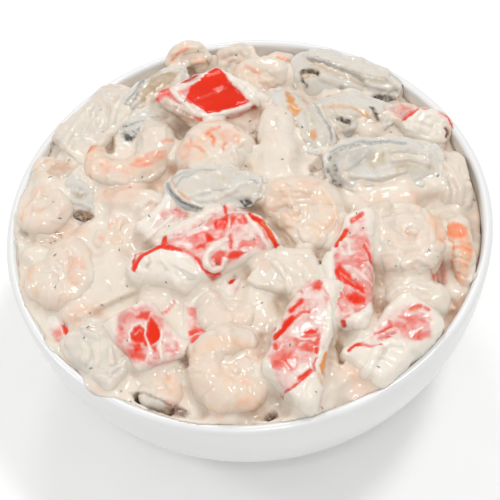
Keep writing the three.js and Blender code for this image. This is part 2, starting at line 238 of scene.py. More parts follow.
# %% A body of rings
def rings_body(rings):
    """A closed body over an array of rings, shaped (rings, sides, 3)."""
    count, sides, _ = rings.shape
    first = np.repeat(rings[:1].mean(axis=1, keepdims=True), sides, axis=1)
    last = np.repeat(rings[-1:].mean(axis=1, keepdims=True), sides, axis=1)
    rings = np.concatenate([first, rings, last])
    ring = np.arange(count + 1)[:, None] * sides
    side = np.arange(sides)[None, :]
    following = (side + 1) % sides
    faces = np.stack([ring + side, ring + following, ring + sides + following,
                      ring + sides + side], axis=-1)
    return rings.reshape(-1, 3), faces.reshape(-1, 4)


def round_section(sides, half_width, half_height, power):
    angle = (np.arange(sides) + 0.5) * 2 * np.pi / sides
    x, y = np.cos(angle), np.sin(angle)
    return (half_width * np.sign(x) * np.abs(x) ** (2 / power),
            half_height * np.sign(y) * np.abs(y) ** (2 / power))


def tube(route, thickness, flat=1.0, sides=16):
    """A round or flattened tube along a route of points, with a thickness at each point."""
    route = np.asarray(route, float)
    ahead = np.gradient(route, axis=0)
    ahead /= np.linalg.norm(ahead, axis=1, keepdims=True)
    side = np.cross(ahead, [0, 0, 1.0])
    side /= np.maximum(np.linalg.norm(side, axis=1, keepdims=True), 1e-9)
    above = np.cross(ahead, side)
    x, y = round_section(sides, 1, flat, 2)
    half = np.broadcast_to(thickness, len(route))[:, None, None]
    return rings_body(route[:, None] + half * (x[None, :, None] * side[:, None]
                                               + y[None, :, None] * above[:, None]))


# %% [markdown]
# ## Where the pieces lie
# A piece is made flat and straight in its own frame and then laid in the bowl: at is the place of
# its middle from the rim's middle, heading and rise say where its own X points, and roll turns it
# about that line. Soft pieces give way to the porcelain, so points that would go into the wall
# are pressed back, and those that would go through the lip are lifted onto it.

# %% Laying a piece in the bowl
def lie(at=(0, 0, 0), heading=0, rise=0, roll=0):
    turn = (Matrix.Rotation(math.radians(heading), 3, "Z")
            @ Matrix.Rotation(math.radians(-rise), 3, "Y")
            @ Matrix.Rotation(math.radians(roll), 3, "X"))
    return np.array(turn), np.array(at, float)


def placed(bodies, place):
    turn, at = place
    return [(points @ turn.T + at, faces) for points, faces in bodies]


HEAP_TOP = (cad_box[1][2] - bowl_high.z) / MM - 0.1
SOFT_TOP = 2.0            # mm below the heap's top where points start to be held down


def press_to_bowl(points, air=0.12):
    """Keep points inside the wall, above the rounded lip and below the heap's top."""
    points = points.copy()
    over = np.maximum(points[:, 2] - HEAP_TOP + SOFT_TOP, 0)
    held = HEAP_TOP - SOFT_TOP * np.exp(-over / SOFT_TOP)
    points[:, 2] = np.where(over > 0, held, points[:, 2])
    radius = np.hypot(points[:, 0], points[:, 1])
    over = np.clip(radius - LIP_RADIUS, -LIP / 2, LIP / 2)
    lip_top = np.sqrt(np.maximum((LIP / 2) ** 2 - over ** 2, 0)) - LIP / 2
    on_lip = (radius > RIM_RADIUS - LIP) & (points[:, 2] > -LIP)
    points[on_lip, 2] = np.maximum(points[on_lip, 2], lip_top[on_lip] + air)
    limit = np.where(points[:, 2] > -LIP, RIM_RADIUS - air, inner_radius(-points[:, 2]) - air)
    floor = -INNER_DEPTH + 1
    points[:, 2] = np.maximum(points[:, 2], floor)
    shrink = np.minimum(1, limit / np.maximum(radius, 1e-9))
    points[:, :2] *= shrink[:, None]
    return points


# %% [markdown]
# ## Paint
# What gives this salad away is not the shapes alone but how the coat of dressing lies on them:
# thick and cream here, a thin pink film there, and bare red skin on an edge. Each piece carries
# five values at every point. bare is how much skin shows, warm is orange or ochre, and cool is the
# blue-grey of a mussel's mantle, which in a few gaps and along a few lower edges is grey painted
# shade. The fourth is a tan painted shade for crevices and hollows, and dark is brown or black:
# specks and marks, and in the gaps and under a few edges also painted shade.
# The paint goes on through the camera, with areas and strokes along x,y pairs in pixels of the
# photograph, as an artist would mark them. A projected picture would be quicker, but it smears on
# steep sides and can't be mended piece by piece. A fold moves the surface itself, up or down.

# %% Areas and strokes
# the fourth channel is tan painted shade
CHANNELS = ("bare", "warm", "cool", "painted_shade", "dark")
PAINT_WAVER = 1.4         # pixels that the edge of a painted area or stroke strays
FOLD_WAVER = 0.2


def path(pairs):
    """Pixels of the photograph from a text of x,y pairs."""
    return np.array([pair.split(",") for pair in pairs.split()], float)


def area(what, amount, corners, soft=None):
    """An area with a firm edge, or with a wide soft one where it is only a film."""
    if soft is None:
        soft = 4.0 if what == "bare" and 0.1 < amount < 0.5 else 2.0
    return what, amount, path(corners), 0.0, soft, True


def stroke(what, amount, wide, line, soft=None):
    """A line so many pixels wide with a soft edge, softer for orange than for red and grey."""
    if soft is None:
        soft = 1.7 if what == "warm" else 1.2
    return what, amount, path(line), wide / 2, soft, False


def fold(height, wide, line, soft=1.9):
    """A ridge so many millimetres high along a line, or a groove where the height is negative."""
    return stroke("raise", height, wide, line, soft)


def to_line(pixels, line, closed):
    """Distance in pixels from each pixel to a line of points, and which lie inside it."""
    best = np.full(len(pixels), 1e9)
    inside = np.zeros(len(pixels), bool)
    ends = np.roll(line, -1, axis=0) if closed else line[1:]
    for start, end in zip(line, ends):
        span = end - start
        part = np.clip(((pixels - start) @ span) / max(span @ span, 1e-9), 0, 1)
        best = np.minimum(best, np.linalg.norm(pixels - start - part[:, None] * span, axis=1))
        crosses = (start[1] > pixels[:, 1]) != (end[1] > pixels[:, 1])
        if closed and span[1]:
            at = start[0] + (pixels[:, 1] - start[1]) / span[1] * span[0]
            inside ^= crosses & (pixels[:, 0] < at)
    return best, inside


class Painted:
    """A mesh in millimetres from the rim's middle, with the paint on it."""

    def __init__(self, name, slot, seed, points, faces):
        self.name, self.slot, self.seed = name, slot, seed
        self.points, self.faces = points, faces
        self.paint = {channel: np.zeros(len(points)) for channel in CHANNELS}
        self.aim()

    def aim(self):
        """Work out normals, and how far each point faces the photograph's camera."""
        self.normals = normals_of(self.points, self.faces)
        to_eye = eye - self.points
        to_eye /= np.linalg.norm(to_eye, axis=1, keepdims=True)
        self.facing = smooth_step(-0.05, 0.25, (self.normals * to_eye).sum(axis=1))

    def push(self, amount):
        self.points = press_to_bowl(self.points + self.normals * np.asarray(amount)[:, None])
        self.aim()

    def wild(self, channel, amount, size, seed):
        """Patches by chance, for the sides that the photograph doesn't show."""
        patches = smooth_step(0.05, 0.35, ripple(self.points, size, seed + self.seed))
        value = amount * patches * (1 - self.facing)
        self.paint[channel] = np.maximum(self.paint[channel], value)

    def follow(self, *strokes):
        """Lay areas, strokes and folds on the side that faces the camera, in their order."""
        pixels = photo_place(self.points)
        waver = np.column_stack([
            ripple(self.points, 3.0, seed) + 0.5 * ripple(self.points, 1.1, seed)
            for seed in (40, 41)])
        raised = np.zeros(len(self.points))
        for what, amount, line, half, soft, closed in strokes:
            stray = FOLD_WAVER if what == "raise" else PAINT_WAVER
            away, inside = to_line(pixels + stray * waver, line, closed)
            away = np.where(inside, -away, away) - half
            weight = self.facing * (1 - smooth_step(-soft, soft, away))
            if what == "raise":
                raised += amount * weight
            else:
                self.paint[what] = self.paint[what] * (1 - weight) + amount * weight
        self.push(raised)

    def show(self, material):
        """Make the Blender object, in metres."""
        mesh = bpy.data.meshes.new(self.name)
        points = self.points * MM + np.array(RIM_MIDDLE)
        mesh.vertices.add(len(points))
        mesh.vertices.foreach_set("co", points.astype(np.float32).ravel())
        mesh.loops.add(self.faces.size)
        mesh.loops.foreach_set("vertex_index", self.faces.astype(np.int32).ravel())
        mesh.polygons.add(len(self.faces))
        mesh.polygons.foreach_set("loop_start", np.arange(0, self.faces.size, 4, dtype=np.int32))
        mesh.update(calc_edges=True)
        mesh.polygons.foreach_set("use_smooth", np.ones(len(self.faces), bool))
        for channel in CHANNELS:
            layer = mesh.attributes.new(channel, "FLOAT", "POINT")
            layer.data.foreach_set("value", self.paint[channel].astype(np.float32))
        mesh.materials.append(material)
        piece = bpy.data.objects.new(self.name + "_food", mesh)
        bpy.context.scene.collection.objects.link(piece)
        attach(piece, "root")
        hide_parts(self.name)
        return piece


# %% [markdown]
# ## A piece of food
# The closed bodies of a piece are melted together in its own frame. Growing and shrinking the
# skin fills its hollows, shrinking and growing rounds its edges, and slow noise makes it stray
# from its plain shape, because no piece of soft food is straight.

# %% Melt a piece of food and lay it in the bowl
SWAY = 1.0                # mm, how far soft food strays from its plain shape
STICK_SWAY = 0.7
SWAY_SIZE = 9
ROUNDS = 2                # of smoothing


class Food(Painted):
    """One piece, with its hollows filled and its edges rounded by so many millimetres."""

    def __init__(self, name, bodies, place, slot, seed, soften=0.0, fill=0.0):
        turn, at = place
        grid = level_set(bodies, FINE, max(soften, fill) + 3 * FINE)
        if fill:
            grid = level_set([skin_of(grid, fill)], FINE, soften + fill + 3 * FINE)
            grid = level_set([skin_of(grid, -fill)], FINE, soften + 3 * FINE)
        if soften:
            grid = level_set([skin_of(grid, -soften)], FINE, soften + 3 * FINE)
        points, faces = skin_of(grid, soften)
        own = relax(points, faces, ROUNDS)
        sway = [ripple(own, SWAY_SIZE, seed + part) for part in (0.2, 0.5, 0.8)]
        self.own = own + (STICK_SWAY if slot == "surimi" else SWAY) * np.column_stack(sway)
        super().__init__(name, slot, seed, press_to_bowl(self.own @ turn.T + at), faces)


# %% [markdown]
# ## Materials
# All the food shares one way of shading, because all of it is wet and coated: a base colour that
# runs from cream over a thin film to bare skin, light that goes a little way in, and a clear
# gloss on top. Colours are written as on a screen, from 0 to 255, and turned into the linear
# values that the shader wants.

# %% Shader helpers
def tint(red, green, blue):
    def linear(v):
        v /= 255
        return v / 12.92 if v <= 0.04045 else ((v + 0.055) / 1.055) ** 2.4
    return linear(red), linear(green), linear(blue), 1.0


class Nodes:
    """A short way to add and link shader nodes."""

    def __init__(self, name):
        self.material = bpy.data.materials.new(name)
        self.material.use_nodes = True
        self.tree = self.material.node_tree
        self.shader = self.tree.nodes["Principled BSDF"]

    def add(self, kind, inputs=(), **settings):
        node = self.tree.nodes.new(kind)
        for key, value in settings.items():
            setattr(node, key, value)
        for key, value in dict(inputs).items():
            self.put(value, node.inputs[key])
        return node

    def put(self, value, socket):
        if isinstance(value, bpy.types.NodeSocket):
            self.tree.links.new(value, socket)
        else:
            socket.default_value = value

    def attribute(self, name):
        return self.add("ShaderNodeAttribute", attribute_name=name).outputs["Fac"]

    def noise(self, scale, detail=3.0, distortion=0.0):
        place = self.add("ShaderNodeTexCoord").outputs["Object"]
        return self.add("ShaderNodeTexNoise", {"Vector": place, "Scale": scale, "Detail": detail,
                                               "Distortion": distortion}).outputs["Fac"]

    def math(self, operation, a, b=0.0, clamp=False):
        return self.add("ShaderNodeMath", {0: a, 1: b}, operation=operation,
                        use_clamp=clamp).outputs[0]

    def mix(self, share, a, b):
        node = self.add("ShaderNodeMix", data_type="RGBA")
        self.put(share, node.inputs["Factor"])
        self.put(a, node.inputs["A"])
        self.put(b, node.inputs["B"])
        return node.outputs["Result"]

    def ramp(self, value, stops):
        node = self.add("ShaderNodeValToRGB", {"Fac": value})
        band = node.color_ramp
        band.elements[0].position, band.elements[0].color = stops[0]
        band.elements[1].position, band.elements[1].color = stops[-1]
        for place, colour in stops[1:-1]:
            band.elements.new(place).color = colour
        return node.outputs["Color"]

    def broken(self, value, grain, amount):
        """Break up the soft edge of a painted value, and leave its full and empty parts."""
        edge = self.math("MULTIPLY", self.math("MULTIPLY", value, 4 * amount),
                         self.math("SUBTRACT", 1.0, value))
        change = self.math("MULTIPLY", self.math("SUBTRACT", grain, 0.5), edge)
        return self.math("ADD", value, change, clamp=True)


CREAM = tint(229, 220, 206)
CREAM_SHADE = tint(221, 206, 189)
# tan painted shade for crevices and hollows
SHADE_TAN = tint(172, 136, 106)


def wet_food(name, stops, warm, cool, dark, shaded=CREAM_SHADE):
    """Cream over skin: stops give the colour from covered (0) to bare (1)."""
    n = Nodes(name)
    fine = n.noise(330, 3.0, 0.6)
    soft = n.noise(120, 2.0)
    mottle = n.math("ADD", n.math("MULTIPLY", soft, 0.6), n.math("MULTIPLY", fine, 0.4))
    bare = n.broken(n.attribute("bare"), mottle, 2.2)
    colour = n.ramp(bare, stops)
    shade = n.math("MULTIPLY", n.math("SUBTRACT", 1.0, bare), n.math("MULTIPLY", soft, 0.9))
    colour = n.mix(shade, colour, shaded)
    # the tan mixed in last is painted shade for crevices and hollows
    for channel, paint in (("warm", warm), ("cool", cool), ("painted_shade", SHADE_TAN)):
        colour = n.mix(n.broken(n.attribute(channel), mottle, 1.6), colour, paint)
    speckle = n.noise(800, 2.0) if name == "mussel_flesh" else mottle
    colour = n.mix(n.broken(n.attribute("dark"), speckle, 2.0), colour, dark)
    s = n.shader.inputs
    n.put(colour, s["Base Color"])
    n.put(n.math("ADD", n.math("MULTIPLY", soft, 0.16), 0.34), s["Roughness"])
    s["Subsurface Weight"].default_value = 0.35
    s["Subsurface Radius"].default_value = (1.0, 0.55, 0.35)
    s["Subsurface Scale"].default_value = 0.0016
    n.put(n.math("SUBTRACT", 0.55, n.math("MULTIPLY", bare, 0.3)), s["Coat Weight"])
    n.put(n.math("SUBTRACT", 0.5, n.math("MULTIPLY", bare, 0.35)), s["Specular IOR Level"])
    s["Coat Roughness"].default_value = 0.07
    s["IOR"].default_value = 1.4
    bump = n.add("ShaderNodeBump", {"Height": n.noise(420, 2.0), "Strength": 0.2,
                                    "Distance": 0.0004})
    n.put(bump.outputs["Normal"], s["Normal"])
    n.put(bump.outputs["Normal"], s["Coat Normal"])
    return n.material


# %% [markdown]
# ## The colours of the food
# Each kind of food has its own colours for the coat, the film and the bare skin, and for the
# orange, the grey and the dark paint on it. They were measured on the photograph and then moved
# a little until the renders agreed with it.

# %% Materials of the food
prawn_flesh = wet_food(
    "prawn_flesh",
    [(0.0, tint(223, 212, 199)), (0.45, tint(228, 200, 176)), (1.0, tint(234, 162, 120))],
    warm=tint(236, 112, 52), cool=tint(196, 190, 180), dark=tint(120, 74, 48))
surimi_skin = wet_food(
    "surimi_skin",
    [(0.0, tint(232, 225, 213)), (0.25, tint(226, 190, 184)), (0.5, tint(220, 116, 110)),
     (0.78, tint(222, 54, 24)), (1.0, tint(224, 40, 2))],
    warm=tint(226, 146, 72), cool=tint(190, 186, 180), dark=tint(92, 52, 40),
    shaded=tint(227, 216, 202))
mussel_flesh = wet_food(
    "mussel_flesh",
    [(0.0, tint(206, 207, 203)), (0.5, tint(200, 190, 170)), (1.0, tint(172, 146, 114))],
    warm=tint(212, 142, 70), cool=tint(150, 155, 156), dark=tint(52, 42, 36))
white_flesh = wet_food(
    "white_flesh",
    [(0.0, tint(224, 216, 203)), (0.5, tint(220, 206, 188)), (1.0, tint(206, 180, 156))],
    warm=tint(206, 130, 92), cool=tint(196, 192, 186), dark=tint(96, 62, 44))
# its dark brown serves borrowed specks, brown liquid in the gaps, and painted shade there as well
dressing_cream = wet_food(
    "dressing_cream",
    [(0.0, CREAM), (0.5, tint(230, 176, 168)), (1.0, tint(222, 84, 60))],
    warm=tint(228, 150, 106), cool=tint(176, 172, 166), dark=tint(84, 52, 36))
print("food materials:", len(bpy.data.materials))

# %% [markdown]
# ## White fish and thick lumps
# The white pieces are so thickly coated that only soft facets show. A rounded body with a low
# power and some dents is enough, and the folds are raised on it afterwards.

# %% The shape of a lump
def lump(length, width, height, power=2.4):
    along = -np.cos(np.pi * np.linspace(0.03, 0.97, 50))
    swell = (1 - np.abs(along) ** power) ** (1 / power)
    y, z = round_section(48, width / 2, height / 2, power)
    rings = np.empty((len(along), 48, 3))
    rings[..., 0] = along[:, None] * length / 2
    rings[..., 1] = swell[:, None] * y
    rings[..., 2] = swell[:, None] * z
    return [rings_body(rings)]


# %% [markdown]
# ## Prawns
# A peeled prawn curls into a C or almost into a ring. It is a tube on a tightening spiral, thick
# where the head was, with a soft notch between two segments and a ridge along each segment's
# hind edge. Bones or a curve modifier could bend a straight prawn, but a spiral written as a
# formula keeps the segments square to the curl.

# %% The shape of a prawn
SEGMENTS = 6
PLUG = 1.15               # cream fills the middle of a ring, this many times the prawn's half width


def prawn(curl, turn, thick, start=0.0, oval=1.0):
    t = np.linspace(0, 1, 150)
    angle = np.radians(start + turn * t)
    radius = curl * (1 - 0.2 * t)
    centre = np.column_stack([oval * radius * np.cos(angle), radius * np.sin(angle), 0 * t])
    ahead = np.gradient(centre, axis=0)
    ahead /= np.linalg.norm(ahead, axis=1, keepdims=True)
    out = np.cross(ahead, [0, 0, np.sign(turn)])
    blunt = np.minimum(1, 0.62 + t * 4) * np.minimum(1, 0.42 + (1 - t) * 3)
    within = (SEGMENTS * t) % 1
    plate = 0.04 * within - 0.04 * np.exp(-((within - 1) / 0.1) ** 2) \
        - 0.04 * np.exp(-(within / 0.08) ** 2)
    half = thick * (1 - 0.38 * t) * blunt * (1 + plate)
    angle = np.linspace(0, 2 * np.pi, 48, endpoint=False)
    back = np.exp(-((np.angle(np.exp(1j * angle))) / 0.25) ** 2)
    sideways = half[:, None] * np.cos(angle) * (1 - 0.05 * back)
    reach = (0.85 * radius / oval)[:, None]
    sideways = np.maximum(sideways, -reach)
    upwards = 0.92 * half[:, None] * np.sin(angle)
    rings = centre[:, None] + sideways[..., None] * out[:, None]
    rings[..., 2] += upwards
    ends = 0.3 * thick * ahead[[0, -1]]
    first = rings[:1] * 0.55 + rings[:1].mean(axis=1, keepdims=True) * 0.45 - ends[0]
    last = rings[-1:] * 0.5 + rings[-1:].mean(axis=1, keepdims=True) * 0.5 + ends[1]
    bodies = [rings_body(np.concatenate([first, rings, last]))]
    if abs(turn) > 280:
        bodies += placed(lump(1.9 * curl * oval, 1.5 * curl, PLUG * thick), lie())
    return bodies


# %% [markdown]
# ## Surimi sticks
# Surimi is pressed fish: a white stick of fine fibres with a red skin, cut slantwise. The body is
# a rounded box, because a lofted box keeps its flat sides and crisp cut edges, which a sculpted
# lump would lose.

# %% The shape of a surimi stick
def surimi(length, width, height, cuts=(0, 0), bend=0.0, power=4.2, lean=(0.1, 0)):
    bevel = 0.7
    stops = [(-0.5, 0, bevel), (-0.5, bevel * 0.4, bevel * 0.35), (-0.5, bevel, 0)]
    stops += [(part, 0, 0) for part in np.linspace(-0.42, 0.42, 30)]
    stops += [(0.5, -bevel, 0), (0.5, -bevel * 0.4, bevel * 0.35), (0.5, 0, bevel)]
    rings = []
    for part, inset, shrink in stops:
        y, z = round_section(72, width / 2 - shrink, height / 2 - shrink, power)
        slant = 2 * abs(part) * (cuts[0] if part < 0 else cuts[1])
        hollow = 1 - 0.05 * math.cos(math.pi * part)
        narrow = lean[1] * max(part - lean[0], 0) / (0.5 - lean[0])
        y = np.where(y > 0, y * (1 - narrow), y)
        x = part * length + inset + slant * y
        rings.append(np.column_stack([x, y * hollow, z - bend * ((2 * part) ** 2 - 0.5)]))
    return [rings_body(np.array(rings))]


# %% [markdown]
# ## Mussels
# A shelled mussel is a plump drop with a thin mantle round it, a double frilled edge in grey and
# brown. The drop is lofted, and two wavy tubes run round its edge, so that the level set melts
# them into one skin with a groove between the frills.

# %% The shape of a mussel
def mussel(length, width, height, taper=0.25, bend=0.0):
    along = -np.cos(np.pi * np.linspace(0.02, 0.98, 60))
    swell = (1 - along ** 2) ** 0.4 * (1 - taper * along)
    y, z = round_section(48, 1, 1, 1.9)
    rings = np.empty((len(along), 48, 3))
    rings[..., 0] = along[:, None] * length / 2
    rings[..., 1] = swell[:, None] * y * width / 2
    rings[..., 2] = swell[:, None] * z * height / 2 - bend * (along[:, None] ** 2 - 0.4)
    bodies = [rings_body(rings)]
    angle = np.linspace(0, 2 * np.pi, 140)
    edge_along = np.cos(angle)
    edge_swell = (1 - edge_along ** 2 + 1e-6) ** 0.4 * (1 - taper * edge_along)
    for level, phase, inset in ((0.16, 0.0, 0.97), (-0.1, 1.9, 1.0)):
        frill = 0.35 * np.sin(9 * angle + phase) + 0.25 * np.sin(17 * angle + 2 * phase)
        route = np.column_stack([
            edge_along * length / 2 * 0.985,
            np.sign(np.sin(angle)) * edge_swell * width / 2 * inset * 0.97,
            level * height + frill - bend * (edge_along ** 2 - 0.4)])
        bodies.append(tube(route[:-1], 0.75 + 0.15 * np.sin(5 * angle[:-1] + phase), sides=10))
    return bodies


# %% [markdown]
# ## The pieces in the bowl
# Each row is one piece of the real salad, with its own size and lie. The places follow those of
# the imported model; some were moved by a few millimetres to suit the photograph, and a later cell
# compares the boxes. White pieces that show flat facets are cut like surimi sticks.

# %% Prawns, sticks, mussels and white pieces
PRAWNS = {
    "prawn_centre_right": dict(at=(19, -8, 4), roll=6, curl=9.4, turn=-310, start=160, thick=8.5),
    "prawn_front": dict(at=(-10, -64.5, 3), roll=6, curl=9.2, turn=310, start=60, thick=8),
    "prawn_right": dict(at=(52.5, -18.5, 2), heading=95, curl=9, turn=310, start=30, thick=8,
                        oval=1.4),
    "prawn_top_centre": dict(at=(-9, 23, 4), roll=6, curl=9, turn=310, start=-20, thick=7.8),
    "prawn_left_c": dict(at=(-41.5, 33.5, 3), roll=4, curl=13, turn=-235, start=35, thick=7.6),
    "prawn_cream": dict(at=(-9, -41, 2), curl=6, turn=300, start=120, thick=6.8),
    "prawn_left": dict(at=(-65, -15, 1), heading=95, rise=6, curl=7.5, turn=310, start=80,
                       thick=7, oval=1.4),
    "prawn_left_rim": dict(at=(-71.5, 13, 0), heading=-10, curl=6, turn=300, start=200, thick=5.8,
                           oval=1.15),
    "prawn_left_upper": dict(at=(-67, 30.5, 0), heading=15, curl=4.8, turn=-290, thick=5,
                             oval=1.2),
    "prawn_mid": dict(at=(-46, -4, 0), curl=5.2, turn=300, start=30, thick=5.4),
    "prawn_rim_right": dict(at=(70, -25.3, -12.8), heading=90, roll=90, curl=15, turn=160,
                            start=15, thick=5.9),
    "prawn_rim_right_up": dict(at=(73.5, 7, -11), heading=86, roll=90, curl=11, turn=-170,
                               start=175, thick=7.6),
    "prawn_rim_back": dict(at=(-15.5, 74, 0.6), roll=50, curl=5, turn=240, start=-20, thick=5.2),
    "prawn_back": dict(at=(2, 73.5, -2.8), roll=20, curl=5, turn=280, start=-40, thick=5.2),
    "prawn_back_2": dict(at=(12, 63, -1), heading=-30, roll=10, curl=5.2, turn=300, start=10,
                         thick=5.4, oval=1.4),
    "prawn_back_pink": dict(at=(19, 70.5, -6), curl=4.6, turn=280, start=10, thick=5),
    "prawn_front_left": dict(at=(-36, -62, -3), curl=7.2, turn=-290, start=150, thick=6.2),
}
SURIMI = {
    "surimi_centre": dict(at=(-13.2, -19.8, 6.5), heading=20, rise=3, roll=14, length=39.5,
                          width=20, height=15, cuts=(-0.5, -0.3), bend=2, lean=(0.2, 0.8)),
    "surimi_back": dict(at=(-8.8, 50.3, 4.6), heading=18, rise=4, roll=28, length=29, width=21,
                        height=14, cuts=(-0.5, -0.7)),
    "surimi_front_right": dict(at=(12.2, -56.2, 4), heading=71, rise=4, roll=8, length=41.5,
                               width=20, height=15, cuts=(0.6, -0.3), lean=(0.05, 0.8)),
    "surimi_right": dict(at=(30.9, -34, 4), heading=79, rise=3, roll=-4, length=42, width=17.5,
                         height=14, cuts=(0.2, -0.7), lean=(0.05, 0.8)),
    "surimi_front_left": dict(at=(-37.5, -47, 1), heading=-58, rise=-6, roll=8, length=24,
                              width=19, height=13, cuts=(0.2, 0.4)),
    "surimi_behind": dict(at=(-28, -3, 4), heading=42, rise=6, roll=10, length=20, width=14,
                          height=11),
    "surimi_low_right": dict(at=(41.5, -59, 0), heading=38, rise=2, roll=6, length=33, width=19,
                             height=13),
    "surimi_rim_back_right": dict(at=(68.2, 31.2, -4.2), heading=101, rise=-59, roll=31,
                                  length=16, width=19, height=14, power=2.6),
    "surimi_rim_left": dict(at=(-66, -36, -6), heading=100, length=20, width=12, height=10),
    "surimi_front_mid": dict(at=(-20, -45, -1), heading=80, length=22, width=14, height=11),
    "surimi_small": dict(at=(-8, -29, 1), heading=55, length=16, width=11, height=9),
    "surimi_deep_right": dict(at=(63, -30, -12), heading=80, length=22, width=13, height=10),
}
MUSSELS = {
    "mussel_centre": dict(at=(-10, 5.7, 7), heading=-3, roll=10, length=35, width=19, height=13),
    "mussel_right": dict(at=(50, 11, 3), heading=-4, rise=-2, roll=12, length=43, width=22,
                         height=14, taper=0.1),
    "mussel_orange": dict(at=(22.5, 36.5, 2), heading=-60, length=37, width=18, height=12,
                          taper=0),
    "mussel_back_right": dict(at=(43, 58, -2), heading=-22, rise=-4, roll=25, length=43,
                              width=19, height=14),
    "mussel_back_right_low": dict(at=(43, 39, -2), heading=-8, roll=10, length=32, width=18,
                                  height=12),
    "mussel_back_left": dict(at=(-32, 57.5, 1), heading=38, roll=20, length=38, width=14,
                             height=11, taper=0),
    "mussel_foot": dict(at=(-31, 46, 0), heading=20, length=32, width=15, height=10),
    "mussel_bit": dict(at=(-58, 17, -1), heading=-70, length=22, width=13, height=9),
}
WHITES = {
    "lobe": dict(at=(14, 30, 5), heading=80, rise=6, length=24, width=14, height=10),
    "white_centre": dict(at=(12, -31, 5.4), heading=-20, length=22, width=18, height=9,
                         cuts=(0.4, -0.6)),
    "white_left_rim": dict(at=(-49.9, 49.0, -0.2), heading=48, length=36, width=21, height=12,
                           cuts=(0.25, -0.35)),
    "lump_right": dict(at=(52, -43, -1), heading=-10, length=22, width=15, height=11),
    "lump_front_left": dict(at=(-53, -48.8, -2.6), heading=-50, length=25, width=19, height=12,
                            cuts=(0.2, -0.2)),
}
LIE = ("at", "heading", "rise", "roll")
STICK_SOFTEN = 2.2        # mm, how far the edges of a stick are rounded
SOFTEN = {"white_left_rim": 1.2, "surimi_back": 0.9, "surimi_low_right": 3.5,
          "surimi_front_right": 2.6, "white_centre": 1.8, "lump_front_left": 3.4}
FILL = {"surimi_centre": 4.0, "prawn_top_centre": 2.5}
JOINED = {                # further bodies, laid in the bowl, that melt into a piece
    "surimi_centre": placed(lump(28, 13, 13, 3.0), lie((-28.5, -25, 5.5), -20))
                     + placed(lump(29, 8, 8, 2.4), lie(at_pixel((200, 225), 6.8), 25))
                     + placed(lump(16, 9, 11, 3.0), lie(at_pixel((243, 228), 8.5), -8)),
    "prawn_top_centre": placed(lump(22, 14, 9, 2.2), lie((-9, 19, 6.6), 10)),
}
KINDS = ((PRAWNS, prawn, "prawn"), (SURIMI, surimi, "surimi"), (MUSSELS, mussel, "mussel"),
         (WHITES, lump, "white_fish"))
food = {}
for rows, shape, slot in KINDS:
    for name, row in rows.items():
        sizes = {key: value for key, value in row.items() if key not in LIE}
        place = lie(**{key: value for key, value in row.items() if key in LIE})
        slot_here = "dressing" if name == "lobe" else slot
        soften = SOFTEN.get(name, STICK_SOFTEN if slot == "surimi" else 0.0)
        bodies = surimi(**sizes) if "cuts" in sizes else shape(**sizes)
        for points, faces in JOINED.get(name, []):
            bodies.append(((points - place[1]) @ place[0], faces))
        food[name] = Food(name, bodies, place, slot_here, len(food), soften, FILL.get(name, 0.0))
print(len(food), "pieces,", sum(len(p.points) for p in food.values()), "points")

# %% [markdown]
# ## Relief that belongs to the food
# Before any paint, every piece gets the unevenness of its own kind. Surimi has fibres at its cut
# ends and lengthways dents in its skin, mussels are wrinkled across, prawns are smooth with soft
# hollows, and white fish breaks into low facets.

# %% Uneven skins
def stretched(points, sizes, seed):
    return ripple(points / np.array(sizes, float), 1.0, seed)


for name in PRAWNS:
    piece = food[name]
    soft = 0.28 * ripple(piece.own, 5.0, piece.seed) + 0.05 * ripple(piece.own, 2.0, piece.seed)
    piece.push(soft)
for name in SURIMI:
    piece = food[name]
    cut = smooth_step(0.55, 0.8, np.abs(normals_of(piece.own, piece.faces)[:, 0]))
    fibre_height = 0.3 if SOFTEN.get(name, 0) < 3 else 0.1
    fibres = fibre_height * stretched(piece.own, (3, 6, 1.1), piece.seed)
    skin = 0.12 * stretched(piece.own, (9, 2.5, 2.5), piece.seed) \
        + 0.25 * ripple(piece.own, 6.0, piece.seed)
    piece.cut = cut
    piece.push(cut * fibres + (1 - cut) * skin)
for name in MUSSELS:
    piece = food[name]
    wrinkle = 0.12 * stretched(piece.own, (2.2, 7, 4), piece.seed) \
        + 0.25 * stretched(piece.own, (9, 3.0, 4), piece.seed + 5)
    piece.push(wrinkle)
for name in WHITES:
    piece = food[name]
    facets = np.abs(ripple(piece.own, 7.0, piece.seed)) - 0.25
    height = 0.2 if name == "lobe" else 0.7
    piece.push(height * (facets + 0.25 * ripple(piece.own, 2.5, piece.seed)))
print("relief is on", len(food), "pieces")

# %% [markdown]
# ## Paint by chance where nobody looks
# The sides that the photograph doesn't show get patches of the same paint by seeded noise, so the
# bowl looks the same kind of salad from behind.

# %% Chance patches
for name in PRAWNS:
    food[name].wild("bare", 0.5, 6, 1)
    food[name].wild("warm", 0.35, 4, 2)
for name in SURIMI:
    piece = food[name]
    piece.wild("bare", 0.95, 8, 3)
    piece.paint["bare"] *= 1 - piece.cut
for name in MUSSELS:
    food[name].wild("bare", 0.6, 7, 4)
    food[name].wild("cool", 0.7, 5, 5)
    food[name].wild("dark", 0.6, 3, 6)
for name in WHITES:
    food[name].wild("bare", 0.4, 7, 7)
print("chance patches are on", len(food), "pieces")

# %% [markdown]
# ## Paint on the surimi
# The red skin is what the eye finds first. Bright red is bare skin, pink is skin under a film of
# dressing, and the cream ridges between are thick dressing that stands up a little.

# %% Paint one piece
def paint(name, *strokes):
    food[name].follow(*strokes)
    print("painted", name, "with", len(strokes), "areas, strokes and folds")


